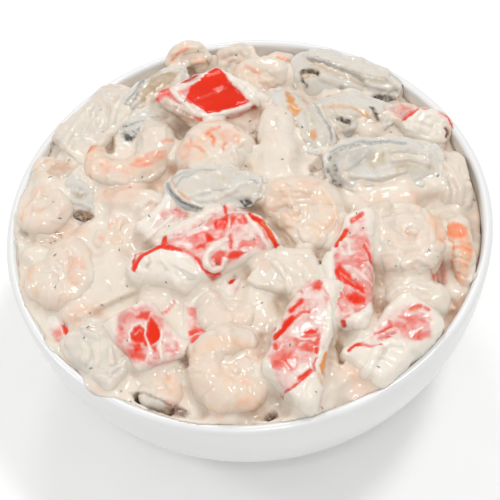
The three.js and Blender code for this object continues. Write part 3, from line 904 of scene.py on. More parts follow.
# %% Paint surimi_back
paint(
    "surimi_back",
    area("bare", 0.35, "151,104 170,84 216,63 268,112 258,124 200,125"),
    area("bare", 0.95, "178,81 191,75 201,68 206,72 194,80 187,84"),
    area("dark", 0.25, "178,81 191,75 201,68 206,72 194,80 187,84"),
    area("bare", 0.65, "152,104 158,92 168,84 173,88 163,98"),
    area("bare", 0.75, "163,95 172,91 186,99 192,108 184,106 172,100"),
    area("bare", 1.0, "216,64 226,75 236,89 250,101 243,105 231,108 222,112 209,114 201,108 190,102"
                      " 186,99 189,90 195,82 204,75 210,68", 1.0),
    area("bare", 0.0, "218,62 230,66 272,112 262,112 238,88 226,74"),
    stroke("bare", 0.08, 5, "172,92 184,102 193,112 207,117 222,114 238,110 250,106"),
    fold(0.5, 4, "172,92 184,102 193,112 207,117 222,114 238,110 250,106"),
    stroke("bare", 0.12, 5, "172,90 184,86 196,79 206,71"),
    stroke("bare", 0.8, 3, "197,119 206,122 218,121 228,119"),
    area("bare", 0.4, "228,118 250,111 262,112 258,121 240,123"),
    area("bare", 0.9, "251,106 255,105 258,109 253,110", 1.0),
    area("bare", 0.0, "158,106 166,99 181,107 192,115 203,127 184,122 163,114", 1.2),
    # tan painted shade in the crease beside the stick, and thin tan lines of painted contact shadow
    area("painted_shade", 0.55, "158,106 166,99 181,107 192,115 203,127 184,122 163,114", 1.5),
    stroke("painted_shade", 0.95, 1.2, "162,108 176,114 194,122"),
    stroke("painted_shade", 0.9, 1.0, "165,103 180,110 198,122"),
    fold(-0.35, 1.2, "162,108 176,114 194,122"),
    stroke("bare", 0.8, 1, "195,100 213,93 226,88"),
    fold(-0.3, 1.2, "232,76 252,96 266,110"),
    fold(0.25, 2, "228,72 246,92 262,108")
)

# %% Paint surimi_centre
paint(
    "surimi_centre",
    area("bare", 0.4, "150,243 164,236 180,230 196,222 208,216 222,205 232,206 246,212 262,217"
                      " 273,232 281,251 268,252 255,248 248,254 238,260 226,264 222,274 213,284"
                      " 207,280 199,270 188,258 176,251"),
    area("bare", 1.0, "152,243 160,238 167,236 167,242 162,247 154,247", 1.0),
    stroke("bare", 1.0, 4, "134,269 134,261 138,253 145,246 154,241"),
    stroke("bare", 0.95, 3.5, "152,246 166,247 176,248 184,250"),
    stroke("bare", 0.6, 3, "184,250 194,256 203,264"),
    area("bare", 1.0, "216,229 214,223 221,217 227,213 229,220 222,229"),
    area("bare", 1.0, "204,232 211,234 214,240 207,243"),
    area("bare", 0.9, "196,249 200,244 207,242 204,248"),
    area("bare", 0.65, "186,238 196,232 206,232 204,242 192,245"),
    stroke("bare", 0.95, 3, "224,205 226,213"),
    stroke("bare", 0.85, 3, "234,217 231,228"),
    area("bare", 0.85, "238,218 243,215 249,218 246,224 239,223"),
    stroke("bare", 0.85, 4, "229,234 230,240 231,247"),
    area("bare", 0.72, "236,243 243,239 249,241 246,247 238,248"),
    stroke("bare", 1.0, 5, "250,216 260,221 268,229 274,240 279,251"),
    stroke("warm", 0.4, 3, "262,222 270,230 275,240"),
    stroke("bare", 0.12, 4, "246,216 256,227 264,240 270,250"),
    area("bare", 0.95, "226,259 229,252 238,250 247,253 238,258"),
    area("bare", 0.85, "212,256 218,251 226,250 226,260 220,266 213,262"),
    stroke("bare", 0.9, 3, "196,258 202,267 207,272 214,275 220,274"),
    area("bare", 0.6, "206,274 212,283 218,277 212,274"),
    stroke("bare", 0.05, 5, "226,239 215,245 207,252 206,262 212,270 221,268 225,260"),
    fold(0.9, 4, "226,239 215,245 207,252 206,262 212,270 221,268 225,260"),
    stroke("bare", 0.15, 2.5, "233,226 226,237 214,246"),
    fold(0.35, 2.5, "229,216 229,226 225,238"),
    stroke("bare", 0.2, 2, "229,213 229,226 226,234"),
    fold(0.4, 3, "246,216 256,227 264,240 270,250"),
    stroke("dark", 0.8, 2, "215,262 217,264"),
    area("bare", 0.0, "133,272 136,256 146,248 180,252 200,268 212,284 205,297 160,299 140,288"),
    stroke("bare", 0.95, 4, "134,270 137,262 142,255 150,250 160,247 172,248"),
    fold(-0.8, 3, "148,258 150,263 147,268"),
    stroke("bare", 0.45, 2.5, "150,263 146,268"),
    fold(0.3, 8, "160,258 176,262 192,272"),
    fold(-0.25, 3, "165,268 176,276 184,288")
)

# %% Paint surimi_front_right
paint(
    "surimi_front_right",
    area("bare", 0.32, "263,332 280,312 296,298 304,285 318,277 330,300 324,330 318,352 310,374"
                       " 298,384 282,398 276,376 266,352"),
    area("bare", 1.0, "265,330 268,324 275,322 275,330 270,336", 1.0),
    stroke("bare", 1.0, 6, "275,337 284,328 292,318"),
    stroke("bare", 0.92, 4, "290,311 296,306 301,301"),
    stroke("bare", 0.85, 3, "295,318 302,313 309,312"),
    area("bare", 0.95, "303,330 310,327 318,329 316,333 306,334", 1.0),
    area("bare", 0.75, "294,338 306,334 320,334 318,344 312,353 303,351 296,346"),
    stroke("bare", 0.2, 1.6, "296,335 304,340 316,337"),
    stroke("bare", 0.25, 1.4, "298,345 308,342 316,346"),
    stroke("bare", 0.8, 4, "276,345 276,348"),
    area("bare", 0.8, "313,284 318,279 323,283 320,290 314,289"),
    stroke("bare", 0.75, 2.5, "300,291 302,294"),
    stroke("bare", 0.7, 1.6, "323,287 327,294"),
    stroke("bare", 1.0, 3, "317,348 317,352"),
    stroke("bare", 0.75, 2.4, "317,358 314,364 315,371"),
    area("bare", 0.52, "268,356 284,348 298,354 298,368 286,374 272,368"),
    area("warm", 1.0, "326,350 329,362 327,376 322,375 319,366", 1.0),
    stroke("warm", 0.6, 3, "318,374 321,383"),
    stroke("bare", 1.0, 5, "300,379 305,375 310,371"),
    stroke("bare", 0.85, 2.5, "300,382 288,390 281,400 275,414"),
    area("bare", 0.0, "284,396 300,384 312,374 322,384 322,412 278,418"),
    fold(0.5, 4, "326,296 331,312 328,330 322,346"),
    fold(0.35, 3, "300,298 308,304 306,318"),
    stroke("bare", 0.1, 2.4, "325,330 320,340 323,348"),
    fold(0.4, 5, "290,386 296,400 292,412")
)

# %% Paint surimi_right
paint(
    "surimi_right",
    area("bare", 0.38, "362,212 368,232 375,262 381,292 372,303 350,318 340,322 334,300 334,262"
                       " 338,240 350,222"),
    stroke("bare", 0.8, 5, "352,221 358,216 362,214"),
    stroke("bare", 1.0, 5, "336,245 341,238 346,230"),
    stroke("warm", 0.3, 3, "338,243 345,232"),
    area("bare", 0.6, "334,254 350,256 364,252 366,262 352,266 336,266"),
    area("bare", 0.97, "334,272 340,264 346,271 353,279 365,287 365,293 352,288 338,280"),
    area("bare", 0.88, "346,296 355,293 366,299 365,304 354,304"),
    stroke("bare", 0.35, 1.2, "342,282 354,290 364,294"),
    stroke("bare", 0.5, 1.0, "345,277 356,284"),
    stroke("bare", 0.92, 2.2, "364,246 368,254 373,266 377,278"),
    area("bare", 0.97, "372,302 376,293 381,291 379,299", 1.0),
    stroke("bare", 0.5, 3, "375,282 374,290"),
    stroke("bare", 0.55, 2, "345,318 355,312 366,305 373,299"),
    stroke("bare", 0.9, 5, "343,322 344,325"),
    stroke("bare", 0.9, 2.6, "340,330 341,338 344,345"),
    area("bare", 0.0, "322,256 334,252 333,290 328,300 320,284"),
    fold(0.7, 9, "329,258 327,272 330,288"),
    stroke("bare", 0.15, 2.2, "340,243 343,254 349,254 349,244 344,240"),
    fold(0.45, 2.2, "340,243 343,254 349,254 349,244 344,240"),
    fold(0.35, 3, "338,257 352,260 364,256"),
    stroke("bare", 0.15, 3, "355,268 362,274 372,284"),
    area("bare", 0.0, "347,322 360,312 374,304 386,304 386,330 362,346 346,344"),
    fold(0.5, 5, "384,306 378,318 382,330"),
    fold(-0.4, 2, "366,318 372,322 370,330")
)

# %% Paint surimi_front_left
paint(
    "surimi_front_left",
    area("bare", 0.32, "115,338 127,305 152,304 170,325 185,356 184,374 160,370 140,365 119,357"),
    area("bare", 0.97, "129,337 132,328 139,325 145,331 145,341 137,343"),
    area("bare", 1.0, "148,323 152,318 158,327 162,337 156,342 150,346 145,341 146,333", 1.0),
    area("bare", 0.88, "136,318 140,312 150,313 148,319 140,319"),
    area("bare", 0.9, "143,338 150,341 151,347 144,345"),
    area("bare", 0.8, "132,345 139,343 143,350 136,351"),
    area("bare", 0.85, "152,346 157,344 158,351 154,352"),
    area("bare", 0.62, "127,349 138,352 147,356 146,361 130,357"),
    area("bare", 0.6, "152,352 160,351 160,359 154,360"),
    area("bare", 0.5, "161,340 168,344 177,356 170,360 161,352"),
    stroke("warm", 0.3, 7, "170,362 178,366"),
    area("bare", 0.45, "117,330 117,320 121,310 127,304 129,309 124,322 122,333"),
    stroke("cool", 0.3, 5, "119,326 122,316 127,308"),
    stroke("bare", 0.7, 4, "120,326 122,328"),
    stroke("bare", 0.1, 2.4, "131,341 129,333 133,326 141,324 146,330"),
    fold(0.4, 2, "131,341 129,333 133,326 141,324 146,330"),
    stroke("bare", 0.12, 2.2, "146,322 145,334 150,348 147,360"),
    fold(0.4, 2, "146,322 145,334 150,348 147,360"),
    stroke("bare", 0.1, 2.6, "162,334 160,346 162,360"),
    stroke("bare", 0.3, 1.2, "134,334 139,330 141,331"),
    fold(0.4, 2.4, "162,334 160,346 162,360")
)

# %% Paint surimi_behind, surimi_small, surimi_front_mid and surimi_rim_left
paint(
    "surimi_behind",
    area("bare", 0.3, "160,212 176,204 190,212 190,226 170,234 156,228"),
    area("bare", 0.82, "165,234 171,226 186,221 189,229 180,234"),
    stroke("bare", 0.5, 4, "176,209 184,214 188,220"),
    stroke("cool", 0.25, 5, "178,208 186,216"),
    fold(0.6, 4, "146,240 158,230 172,218"),
    stroke("bare", 0.05, 4, "146,240 158,230 172,218")
)
paint(
    "surimi_small",
    stroke("bare", 1.0, 4.5, "230,283 235,276"),
    area("bare", 0.3, "232,286 240,284 242,296 236,302"),
    stroke("warm", 0.5, 3.5, "248,282 253,286"),
    stroke("cool", 0.4, 6, "238,266 246,265")
)
paint(
    "surimi_front_mid",
    area("bare", 0.3, "186,306 202,305 206,324 200,348 186,348"),
    area("bare", 0.5, "190,308 200,308 203,322 194,326"),
    area("bare", 0.72, "188,332 196,327 207,330 204,342 192,347"),
    stroke("bare", 0.15, 1.6, "190,338 198,334 205,337")
)
paint(
    "surimi_rim_left",
    area("bare", 0.4, "50,328 62,326 67,352 58,352"),
    area("bare", 1.0, "61,320 65,314 70,328 70,338 64,334"),
    stroke("bare", 0.7, 2, "67,338 67,355")
)

# %% Paint surimi_low_right and surimi_rim_back_right
paint(
    "surimi_low_right",
    area("bare", 0.3, "378,322 396,308 418,304 433,318 430,338 408,342 392,338 366,346 350,350"
                      " 348,344 368,338"),
    stroke("bare", 0.92, 4, "408,313 414,308 421,307 428,311"),
    stroke("warm", 0.35, 3, "410,311 421,307"),
    area("bare", 0.5, "396,318 408,309 424,307 432,316 431,330 420,340 405,336 396,328", 3.0),
    area("bare", 0.7, "404,316 416,313 428,316 424,322 408,322", 3.0),
    stroke("bare", 0.75, 3, "375,334 384,330 391,326 389,322"),
    stroke("bare", 0.6, 2.4, "378,340 388,337 396,334"),
    stroke("bare", 0.95, 3.5, "348,351 355,345 362,344"),
    stroke("bare", 0.7, 2.6, "362,344 372,346 381,346"),
    stroke("bare", 0.5, 2, "335,386 338,398 345,386"),
    fold(0.5, 3, "376,337 386,333 396,329"),
    fold(0.9, 8, "379,350 371,364 363,377 355,387"),
    fold(0.6, 6, "382,346 392,342 402,344"),
    stroke("cool", 0.35, 8, "414,353 420,356")
)
paint(
    "surimi_rim_back_right",
    area("bare", 0.55, "386,112 400,103 414,102 416,109 405,122 395,118"),
    area("dark", 0.18, "386,112 400,103 412,103 410,112 402,119"),
    stroke("bare", 0.9, 2.6, "402,121 410,115 418,109"),
    stroke("bare", 0.97, 3.2, "409,102 416,105 424,108 431,106 438,108 444,113 449,120 455,131"),
    stroke("bare", 0.3, 4, "440,113 446,120 452,131 456,136"),
    stroke("dark", 0.9, 2.6, "446,128 448,132 447,137"),
    stroke("warm", 0.7, 2, "447,129 448,136"),
    fold(-0.8, 2.4, "446,128 448,132 447,137"),
    fold(-0.3, 2, "420,132 427,136 433,131 433,124"),
    fold(0.3, 5, "424,120 430,124")
)

# %% Paint surimi_deep_right
paint(
    "surimi_deep_right",
    area("bare", 0.5, "430,262 444,258 450,280 444,298 432,294"),
    stroke("bare", 0.8, 2.4, "446,260 449,275 446,290"),
    stroke("dark", 0.3, 3, "445,270 447,280")
)

# %% [markdown]
# ## Paint on the prawns
# Cooked prawn is peach with orange at the edges of its segments. Most of it hides under cream, so
# the orange comes in short broken strokes. Folds along the creases between the segments lift and
# lower the surface.

# %% Paint prawn_left_c
paint(
    "prawn_left_c",
    area("bare", 0.3, "80,150 100,142 130,160 168,145 170,165 150,176 110,182 86,172"),
    area("warm", 0.62, "79,153 86,143 94,140 98,145 92,152 84,156"),
    area("dark", 0.25, "82,151 88,143 95,142 92,150"),
    area("warm", 0.5, "131,165 138,160 150,152 166,150 166,156 151,165 140,169"),
    stroke("warm", 0.15, 1.4, "136,160 150,157 165,153"),
    stroke("warm", 0.2, 1.2, "134,166 148,161 160,159"),
    area("warm", 0.22, "102,164 120,166 128,173 114,176 104,172"),
    stroke("warm", 0.4, 3, "160,144 166,141 171,140"),
    stroke("warm", 0.55, 2, "82,171 85,176"),
    stroke("warm", 0.35, 2, "102,165 110,161 113,160"),
    stroke("warm", 0.4, 2, "90,174 96,184 106,191 122,194 140,193"),
    stroke("warm", 0.35, 2, "140,193 156,188 168,180 174,172"),
    stroke("bare", 0.35, 5, "118,154 128,148"),
    fold(-0.35, 2, "106,170 105,180 107,190"),
    fold(0.4, 5, "114,181 130,184 150,180 164,170"),
    fold(0.5, 3, "88,156 100,152 112,156"),
    fold(-0.5, 2, "92,157 104,156 114,158")
)

# %% Paint prawn_top_centre
paint(
    "prawn_top_centre",
    area("bare", 0.35, "178,142 200,128 222,126 242,134 244,146 222,150 200,160 182,166"),
    stroke("warm", 0.7, 2.6, "206,134 212,130 220,127"),
    stroke("warm", 0.85, 3, "211,136 214,140 214,145"),
    stroke("warm", 0.85, 3, "223,149 224,145 226,142"),
    stroke("warm", 0.6, 1.8, "191,139 192,146 200,149 204,152"),
    area("warm", 0.32, "216,133 226,129 240,136 240,142 228,143"),
    area("warm", 0.3, "178,150 186,143 194,146 190,156 181,161"),
    stroke("warm", 0.5, 1.8, "234,128 239,131"),
    stroke("warm", 0.3, 3, "182,167 188,168"),
    fold(0.4, 4, "196,142 206,150 210,158"),
    fold(0.45, 5, "222,156 234,150 240,144"),
    fold(-0.35, 2.4, "212,160 224,152 232,144"),
    stroke("warm", 0.25, 5, "250,166 256,160")
)

# %% Paint prawn_centre_right
paint(
    "prawn_centre_right",
    area("bare", 0.3, "260,198 272,176 300,170 324,180 340,210 330,240 300,258 274,250 262,226"),
    area("warm", 0.24, "259,204 268,199 278,203 277,213 266,216"),
    area("warm", 0.2, "262,218 272,218 274,226 266,228"),
    area("bare", 0.6, "281,238 288,234 297,240 296,250 286,250"),
    fold(0.7, 7, "292,206 296,210"),
    fold(-0.5, 3, "284,210 290,217 300,217 303,208"),
    fold(0.6, 5, "288,224 300,228 304,240"),
    fold(-0.5, 3, "282,230 290,240 296,248"),
    fold(0.7, 3.4, "282,190 294,189 308,192"),
    fold(-0.4, 3, "284,197 296,198 310,198"),
    fold(0.4, 5, "324,190 334,204 336,220"),
    stroke("warm", 0.15, 3, "286,186 300,182 318,184"),
    stroke("bare", 0.5, 3, "318,236 330,226 336,214"),
    fold(-0.35, 2.2, "312,206 324,204 334,208"),
    fold(-0.35, 2.2, "308,222 318,230 326,236")
)

# %% Paint prawn_front
paint(
    "prawn_front",
    area("bare", 0.35, "190,350 212,332 240,336 262,352 276,380 266,410 234,420 204,412 188,386"),
    stroke("warm", 0.4, 2.4, "245,352 250,359 254,366"),
    stroke("warm", 0.25, 2, "240,346 246,356"),
    stroke("warm", 0.2, 4, "242,380 250,384"),
    fold(0.6, 6, "233,369 236,371"),
    fold(0.5, 6, "224,350 227,352"),
    fold(-0.45, 2.4, "214,352 222,362 230,362 238,356"),
    fold(-0.3, 2, "206,356 196,352 190,350"),
    fold(-0.3, 2, "204,372 192,374 186,376"),
    fold(-0.3, 2, "212,388 204,396 196,402"),
    fold(-0.3, 2, "230,394 230,406 226,418"),
    fold(-0.3, 2, "248,388 256,398 262,408"),
    fold(0.35, 4, "252,368 262,376 268,388"),
    stroke("bare", 0.6, 3, "238,414 256,412 268,402")
)

# %% Paint prawn_right
paint(
    "prawn_right",
    area("bare", 0.14, "370,210 388,196 412,194 432,206 444,230 444,258 430,280 408,288 386,280"
                       " 374,250"),
    area("bare", 0.6, "430,206 444,222 446,244 436,240 428,220"),
    stroke("warm", 0.18, 4, "432,212 440,226 442,240"),
    stroke("warm", 0.22, 3, "408,230 416,232 416,240 408,240 406,232"),
    area("bare", 0.7, "409,268 416,266 418,276 411,279"),
    area("cool", 0.35, "378,242 388,239 392,248 384,253"),
    fold(0.5, 4, "402,228 412,224 421,232 416,243 405,242"),
    # a dimple pushed in, with tan painted shade in it
    fold(-1.3, 4, "409,231 413,235"),
    stroke("painted_shade", 0.5, 4, "409,231 413,235"),
    fold(0.9, 8, "382,208 396,202 412,200"),
    fold(-0.7, 4, "384,218 398,213 412,210"),
    fold(0.8, 6, "424,212 433,224 432,240"),
    fold(-0.6, 4, "388,236 392,248 404,254 418,250"),
    fold(0.9, 6, "404,264 418,258 430,264"),
    fold(-0.35, 2.2, "424,246 434,250 442,254"),
    fold(-0.35, 2.2, "416,262 424,270 430,280"),
    fold(0.4, 3, "396,256 404,268 400,280"),
    fold(-0.3, 2, "384,226 376,232 372,240")
)

# %% Paint prawn_rim_right and prawn_rim_right_up
paint(
    "prawn_rim_right",
    area("bare", 0.75, "446,224 458,221 470,226 474,250 468,280 456,298 446,292 444,258"),
    area("warm", 0.75, "446,236 448,226 458,222 469,228 466,236 454,238"),
    area("warm", 0.55, "444,236 450,238 450,262 448,290 443,280"),
    stroke("warm", 0.5, 3, "452,248 462,246 470,250"),
    stroke("warm", 0.45, 3, "451,262 460,262 468,266"),
    stroke("warm", 0.4, 3, "450,276 458,278 464,282"),
    fold(-0.4, 2, "450,244 460,242 471,246"),
    fold(-0.4, 2, "449,258 459,258 470,262"),
    fold(-0.4, 2, "449,272 458,274 466,278"),
    stroke("bare", 0.25, 4, "456,242 458,256 456,270")
)
paint(
    "prawn_rim_right_up",
    area("cool", 0.75, "441,164 443,159 449,158 448,164", 1.0),
    stroke("warm", 0.3, 3, "452,226 462,222"),
    fold(0.8, 4, "442,162 452,172 460,188 460,206"),
    fold(-0.7, 3, "446,178 450,192 448,206"),
    fold(0.7, 5, "466,178 472,190 468,204"),
    fold(-0.6, 3, "460,168 466,182 466,198"),
    stroke("cool", 0.3, 5, "448,182 450,196 447,206")
)

# %% Paint prawn_rim_back, prawn_back and prawn_back_2
paint(
    "prawn_rim_back",
    area("bare", 0.45, "166,68 170,54 180,44 196,41 206,52 208,64 190,72"),
    stroke("warm", 0.5, 3, "177,55 181,51 187,49"),
    stroke("warm", 0.35, 3, "172,61 174,59"),
    stroke("warm", 0.5, 2.4, "180,70 185,71"),
    stroke("dark", 0.35, 2, "207,60 209,64"),
    fold(0.6, 4, "174,54 186,48 200,47"),
    fold(-0.6, 2.4, "172,62 182,57 194,54 204,54"),
    fold(0.5, 4, "176,68 188,63 202,61"),
    fold(-0.5, 3, "190,70 198,66 206,66")
)
paint(
    "prawn_back",
    area("bare", 0.3, "210,60 222,48 244,46 256,50 252,64 226,66"),
    area("cool", 0.3, "208,60 220,46 246,44 258,52 252,66 224,68", 4.0),
    stroke("warm", 0.4, 2, "226,61 238,60 250,63"),
    stroke("cool", 0.6, 1.4, "240,52 246,57 251,62"),
    stroke("cool", 0.6, 1.4, "230,53 234,56"),
    fold(0.6, 4, "214,58 226,50 242,50"),
    fold(-0.7, 3, "222,60 234,55 248,58"),
    fold(0.5, 3, "240,62 250,60 256,54")
)
paint(
    "prawn_back_2",
    area("bare", 0.2, "226,66 250,62 280,76 284,92 262,92 238,76"),
    stroke("warm", 0.4, 3, "245,67 250,68 254,70"),
    stroke("warm", 0.5, 3, "256,72 260,74"),
    stroke("dark", 0.45, 3.5, "265,88 269,92"),
    stroke("dark", 0.4, 2.4, "277,86 278,90"),
    fold(-0.7, 3.5, "265,88 269,92"),
    fold(0.4, 4, "246,78 260,82 272,80")
)

# %% Paint prawn_back_pink, prawn_left and prawn_left_rim
paint(
    "prawn_back_pink",
    area("bare", 0.4, "266,62 280,56 292,62 290,78 276,76"),
    stroke("warm", 0.5, 2.4, "275,59 283,58 290,61")
)
paint(
    "prawn_left",
    area("bare", 0.16, "28,250 50,232 84,240 100,262 96,288 70,314 40,312 26,284"),
    area("warm", 0.2, "67,256 82,256 86,270 80,284 68,282"),
    stroke("warm", 0.45, 2, "80,267 85,270"),
    stroke("warm", 0.5, 2, "73,283 77,284"),
    stroke("warm", 0.5, 3.4, "90,290 95,285"),
    fold(-0.5, 2.4, "57,261 62,266 63,274 59,282 52,286"),
    fold(-0.55, 2.4, "45,271 52,271 59,272"),
    fold(0.4, 6, "44,264 50,266"),
    fold(0.4, 5, "88,256 94,270 92,280"),
    stroke("warm", 0.3, 1.6, "52,318 68,313 80,304 90,293"),
    fold(-0.4, 2.2, "56,290 60,300 58,308"),
    stroke("bare", 0.5, 6, "32,262 30,280 36,296")
)
paint(
    "prawn_left_rim",
    area("bare", 0.15, "14,218 22,200 40,190 60,196 70,212 64,230 36,236"),
    stroke("bare", 0.85, 2.6, "15,220 17,208 24,198 34,191"),
    stroke("bare", 0.8, 1.6, "21,220 24,208 32,200"),
    stroke("warm", 0.4, 1.4, "33,211 38,212 45,209"),
    # painted brown shade under its lower edge
    stroke("dark", 0.3, 3, "22,230 30,236"),
    fold(0.4, 3, "18,216 22,206 30,198"),
    fold(-0.4, 2, "24,216 28,208 36,202"),
    fold(0.4, 6, "50,204 58,212")
)

# %% Paint prawn_left_upper, prawn_mid, prawn_cream and prawn_front_left
paint(
    "prawn_left_upper",
    area("bare", 0.3, "32,180 44,164 60,158 76,164 72,182 54,190"),
    # tan painted shade in the folds
    area("painted_shade", 0.4, "44,172 54,162 70,160 70,170 58,178", 3.0),
    area("warm", 0.25, "52,168 58,160 69,160 70,167 60,171"),
    area("cool", 0.3, "62,170 74,166 74,180 64,182"),
    stroke("bare", 0.8, 2, "30,180 38,168 50,160"),
    fold(-0.4, 2, "50,176 56,182 58,188")
)
paint(
    "prawn_mid",
    area("bare", 0.25, "98,232 112,218 130,222 132,248 116,258 100,250"),
    stroke("warm", 0.3, 2.4, "109,226 113,223 117,221"),
    stroke("warm", 0.25, 3, "101,238 104,246 109,253"),
    fold(0.4, 5, "120,230 122,244")
)
paint(
    "prawn_cream",
    area("bare", 0.12, "200,290 240,284 262,306 250,334 214,336"),
    fold(0.4, 7, "212,296 228,290 246,296"),
    fold(-0.3, 3, "222,310 236,308 246,316")
)
paint(
    "prawn_front_left",
    area("bare", 0.4, "122,370 136,362 160,366 186,384 184,404 150,388 126,388"),
    area("bare", 0.6, "127,366 140,363 145,374 134,380"),
    # grey and brown along the lower edge, by the gap: partly brown liquid and partly painted shade
    area("cool", 0.6, "134,397 150,396 166,404 160,410 142,405"),
    stroke("dark", 0.6, 3, "132,393 146,394 160,400 170,406"),
    stroke("warm", 0.3, 6, "168,402 180,408 190,412"),
    stroke("dark", 0.4, 4, "166,408 180,412 190,415"),
    fold(0.4, 4, "146,372 160,378 172,388"),
    stroke("warm", 0.25, 4, "182,386 188,396")
)

# %% [markdown]
# ## Paint on the mussels and the white pieces
# A mussel is pale grey where the dressing is thin. Its mantle edge is a blue-grey line, and the
# gut and the frill show as black or brown specks. One of them carries ochre roe.

# %% Paint mussel_centre
paint(
    "mussel_centre",
    area("bare", 0.15, "172,182 200,172 250,176 264,192 240,214 200,210"),
    stroke("cool", 0.75, 6, "169,186 174,197 186,206 204,211"),
    stroke("dark", 0.4, 1.6, "170,190 177,199 190,206 203,211"),
    stroke("warm", 0.75, 1.2, "172,180 176,189 183,196 190,201"),
    stroke("bare", 0.6, 2, "180,208 190,212 203,214"),
    fold(0.7, 3, "171,184 177,194 188,202 202,207"),
    fold(-0.6, 2, "170,190 177,199 190,206 203,211"),
    stroke("cool", 0.5, 2, "172,178 185,173 200,171 215,171"),
    stroke("cool", 0.5, 2, "176,186 182,178 192,174"),
    stroke("cool", 0.85, 2, "250,180 255,182 259,186"),
    area("cool", 0.35, "236,198 250,196 254,210 240,210"),
    stroke("dark", 0.8, 3, "242,202 246,205 250,203 247,200"),
    fold(-0.5, 4, "244,203 248,203"),
    stroke("bare", 0.6, 3, "262,176 264,186 258,197 254,208"),
    area("bare", 0.4, "212,176 234,174 240,182 220,184"),
    fold(0.5, 5, "198,200 216,198 234,190"),
    stroke("cool", 0.3, 2.4, "198,197 214,192 228,190"),
    fold(-0.3, 2.2, "198,197 214,192 228,190")
)

# %% Paint mussel_right
paint(
    "mussel_right",
    area("bare", 0.2, "330,160 350,146 400,142 434,160 420,186 350,192"),
    stroke("cool", 0.75, 2.2, "330,152 345,146 362,142 390,142 405,144"),
    fold(-0.4, 2.2, "338,156 352,149 368,146 392,147 410,151"),
    area("cool", 0.25, "346,150 372,147 380,160 350,172", 4.0),
    area("cool", 0.3, "324,164 332,152 348,150 340,166 344,184 334,188", 3.0),
    stroke("bare", 0.6, 3, "338,154 333,164 335,176", 2.5),
    stroke("dark", 0.5, 2, "331,157 330,161", 1.6),
    stroke("dark", 0.45, 3, "336,166 337,171", 1.8),
    stroke("dark", 0.55, 3, "328,170 332,180 341,187", 1.8),
    stroke("dark", 0.4, 2, "342,187 352,191 364,193"),
    stroke("dark", 0.3, 2, "332,154 346,148 364,144 380,143"),
    area("bare", 0.7, "370,152 384,152 386,164 372,172 366,162", 3.0),
    area("bare", 0.6, "392,164 416,162 420,170 396,174", 3.0),
    area("bare", 0.55, "427,165 434,164 434,171 428,171"),
    fold(1.0, 4, "391,152 408,149 428,155"),
    fold(0.9, 4, "392,160 408,159 428,164"),
    fold(-0.6, 2.4, "394,156 408,154 424,159"),
    fold(0.8, 5, "346,168 356,162 366,152"),
    fold(0.7, 5, "352,176 376,178 404,172"),
    stroke("bare", 0.4, 4, "360,182 386,186 410,182"),
    fold(-0.3, 2.4, "358,181 384,184 410,180")
)

# %% Paint mussel_orange
paint(
    "mussel_orange",
    area("bare", 0.2, "276,90 292,88 316,104 330,140 322,158 300,140"),
    area("warm", 0.95, "285,92 289,92 295,101 292,105 286,100", 1.5),
    area("warm", 0.8, "287,106 294,103 301,109 297,116 288,119", 1.8),
    area("warm", 0.7, "291,120 297,120 300,128 294,127", 1.8),
    area("warm", 0.75, "311,131 316,129 318,136 314,140 310,137", 1.8),
    area("bare", 0.4, "302,112 312,116 320,134 312,142 304,128", 3.0),
    stroke("warm", 0.6, 1.8, "302,94 304,101 308,107"),
    stroke("dark", 0.22, 1.6, "314,106 321,117 329,133 331,149"),
    stroke("cool", 0.5, 2.4, "312,102 320,112 327,126 331,142"),
    fold(0.6, 3, "312,104 320,114 327,128 331,144"),
    fold(0.7, 4, "306,152 316,155 328,151"),
    stroke("bare", 0.05, 4, "306,152 316,155 328,151"),
    fold(-0.4, 2.4, "306,112 308,124 312,126"),
    fold(0.4, 6, "302,122 306,138")
)

# %% Paint mussel_back_right
paint(
    "mussel_back_right",
    area("bare", 0.18, "300,58 340,64 390,80 398,98 350,100 306,92"),
    stroke("dark", 0.2, 2.2, "304,54 325,61 345,68 365,76 385,80 393,85 397,93"),
    stroke("bare", 0.75, 3, "310,60 330,66 350,74 364,81"),
    stroke("cool", 0.6, 2.2, "308,58 328,64 346,71 360,76"),
    fold(0.6, 2.6, "304,55 325,62 345,69 365,77 385,81"),
    fold(-0.3, 2.2, "308,61 328,67 348,75 366,83"),
    # tan painted shade under the fold
    stroke("painted_shade", 0.4, 3, "310,63 328,70 348,78 366,86", 2.0),
    stroke("bare", 0.8, 8, "304,76 310,72 316,74", 2.5),
    stroke("dark", 0.75, 4, "301,73 306,71 312,71 317,74", 2.0),
    stroke("dark", 0.7, 3, "302,78 303,82 307,86", 1.8),
    fold(-0.8, 4, "302,75 308,73 316,74"),
    stroke("bare", 0.7, 2.4, "308,96 322,98 340,101 356,101"),
    stroke("cool", 0.5, 2, "308,98 330,101 352,103"),
    area("dark", 0.7, "370,97 380,94 392,96 396,99 388,103 376,102"),
    stroke("cool", 0.2, 1.6, "372,100 384,98 394,101"),
    stroke("dark", 0.5, 1.6, "344,94 352,96 362,95"),
    area("cool", 0.5, "336,88 342,84 347,88 342,92"),
    stroke("cool", 0.5, 2, "360,80 372,88 388,92 396,90"),
    fold(0.4, 4, "366,84 378,88 390,88"),
    fold(0.5, 6, "322,78 344,84 360,90")
)

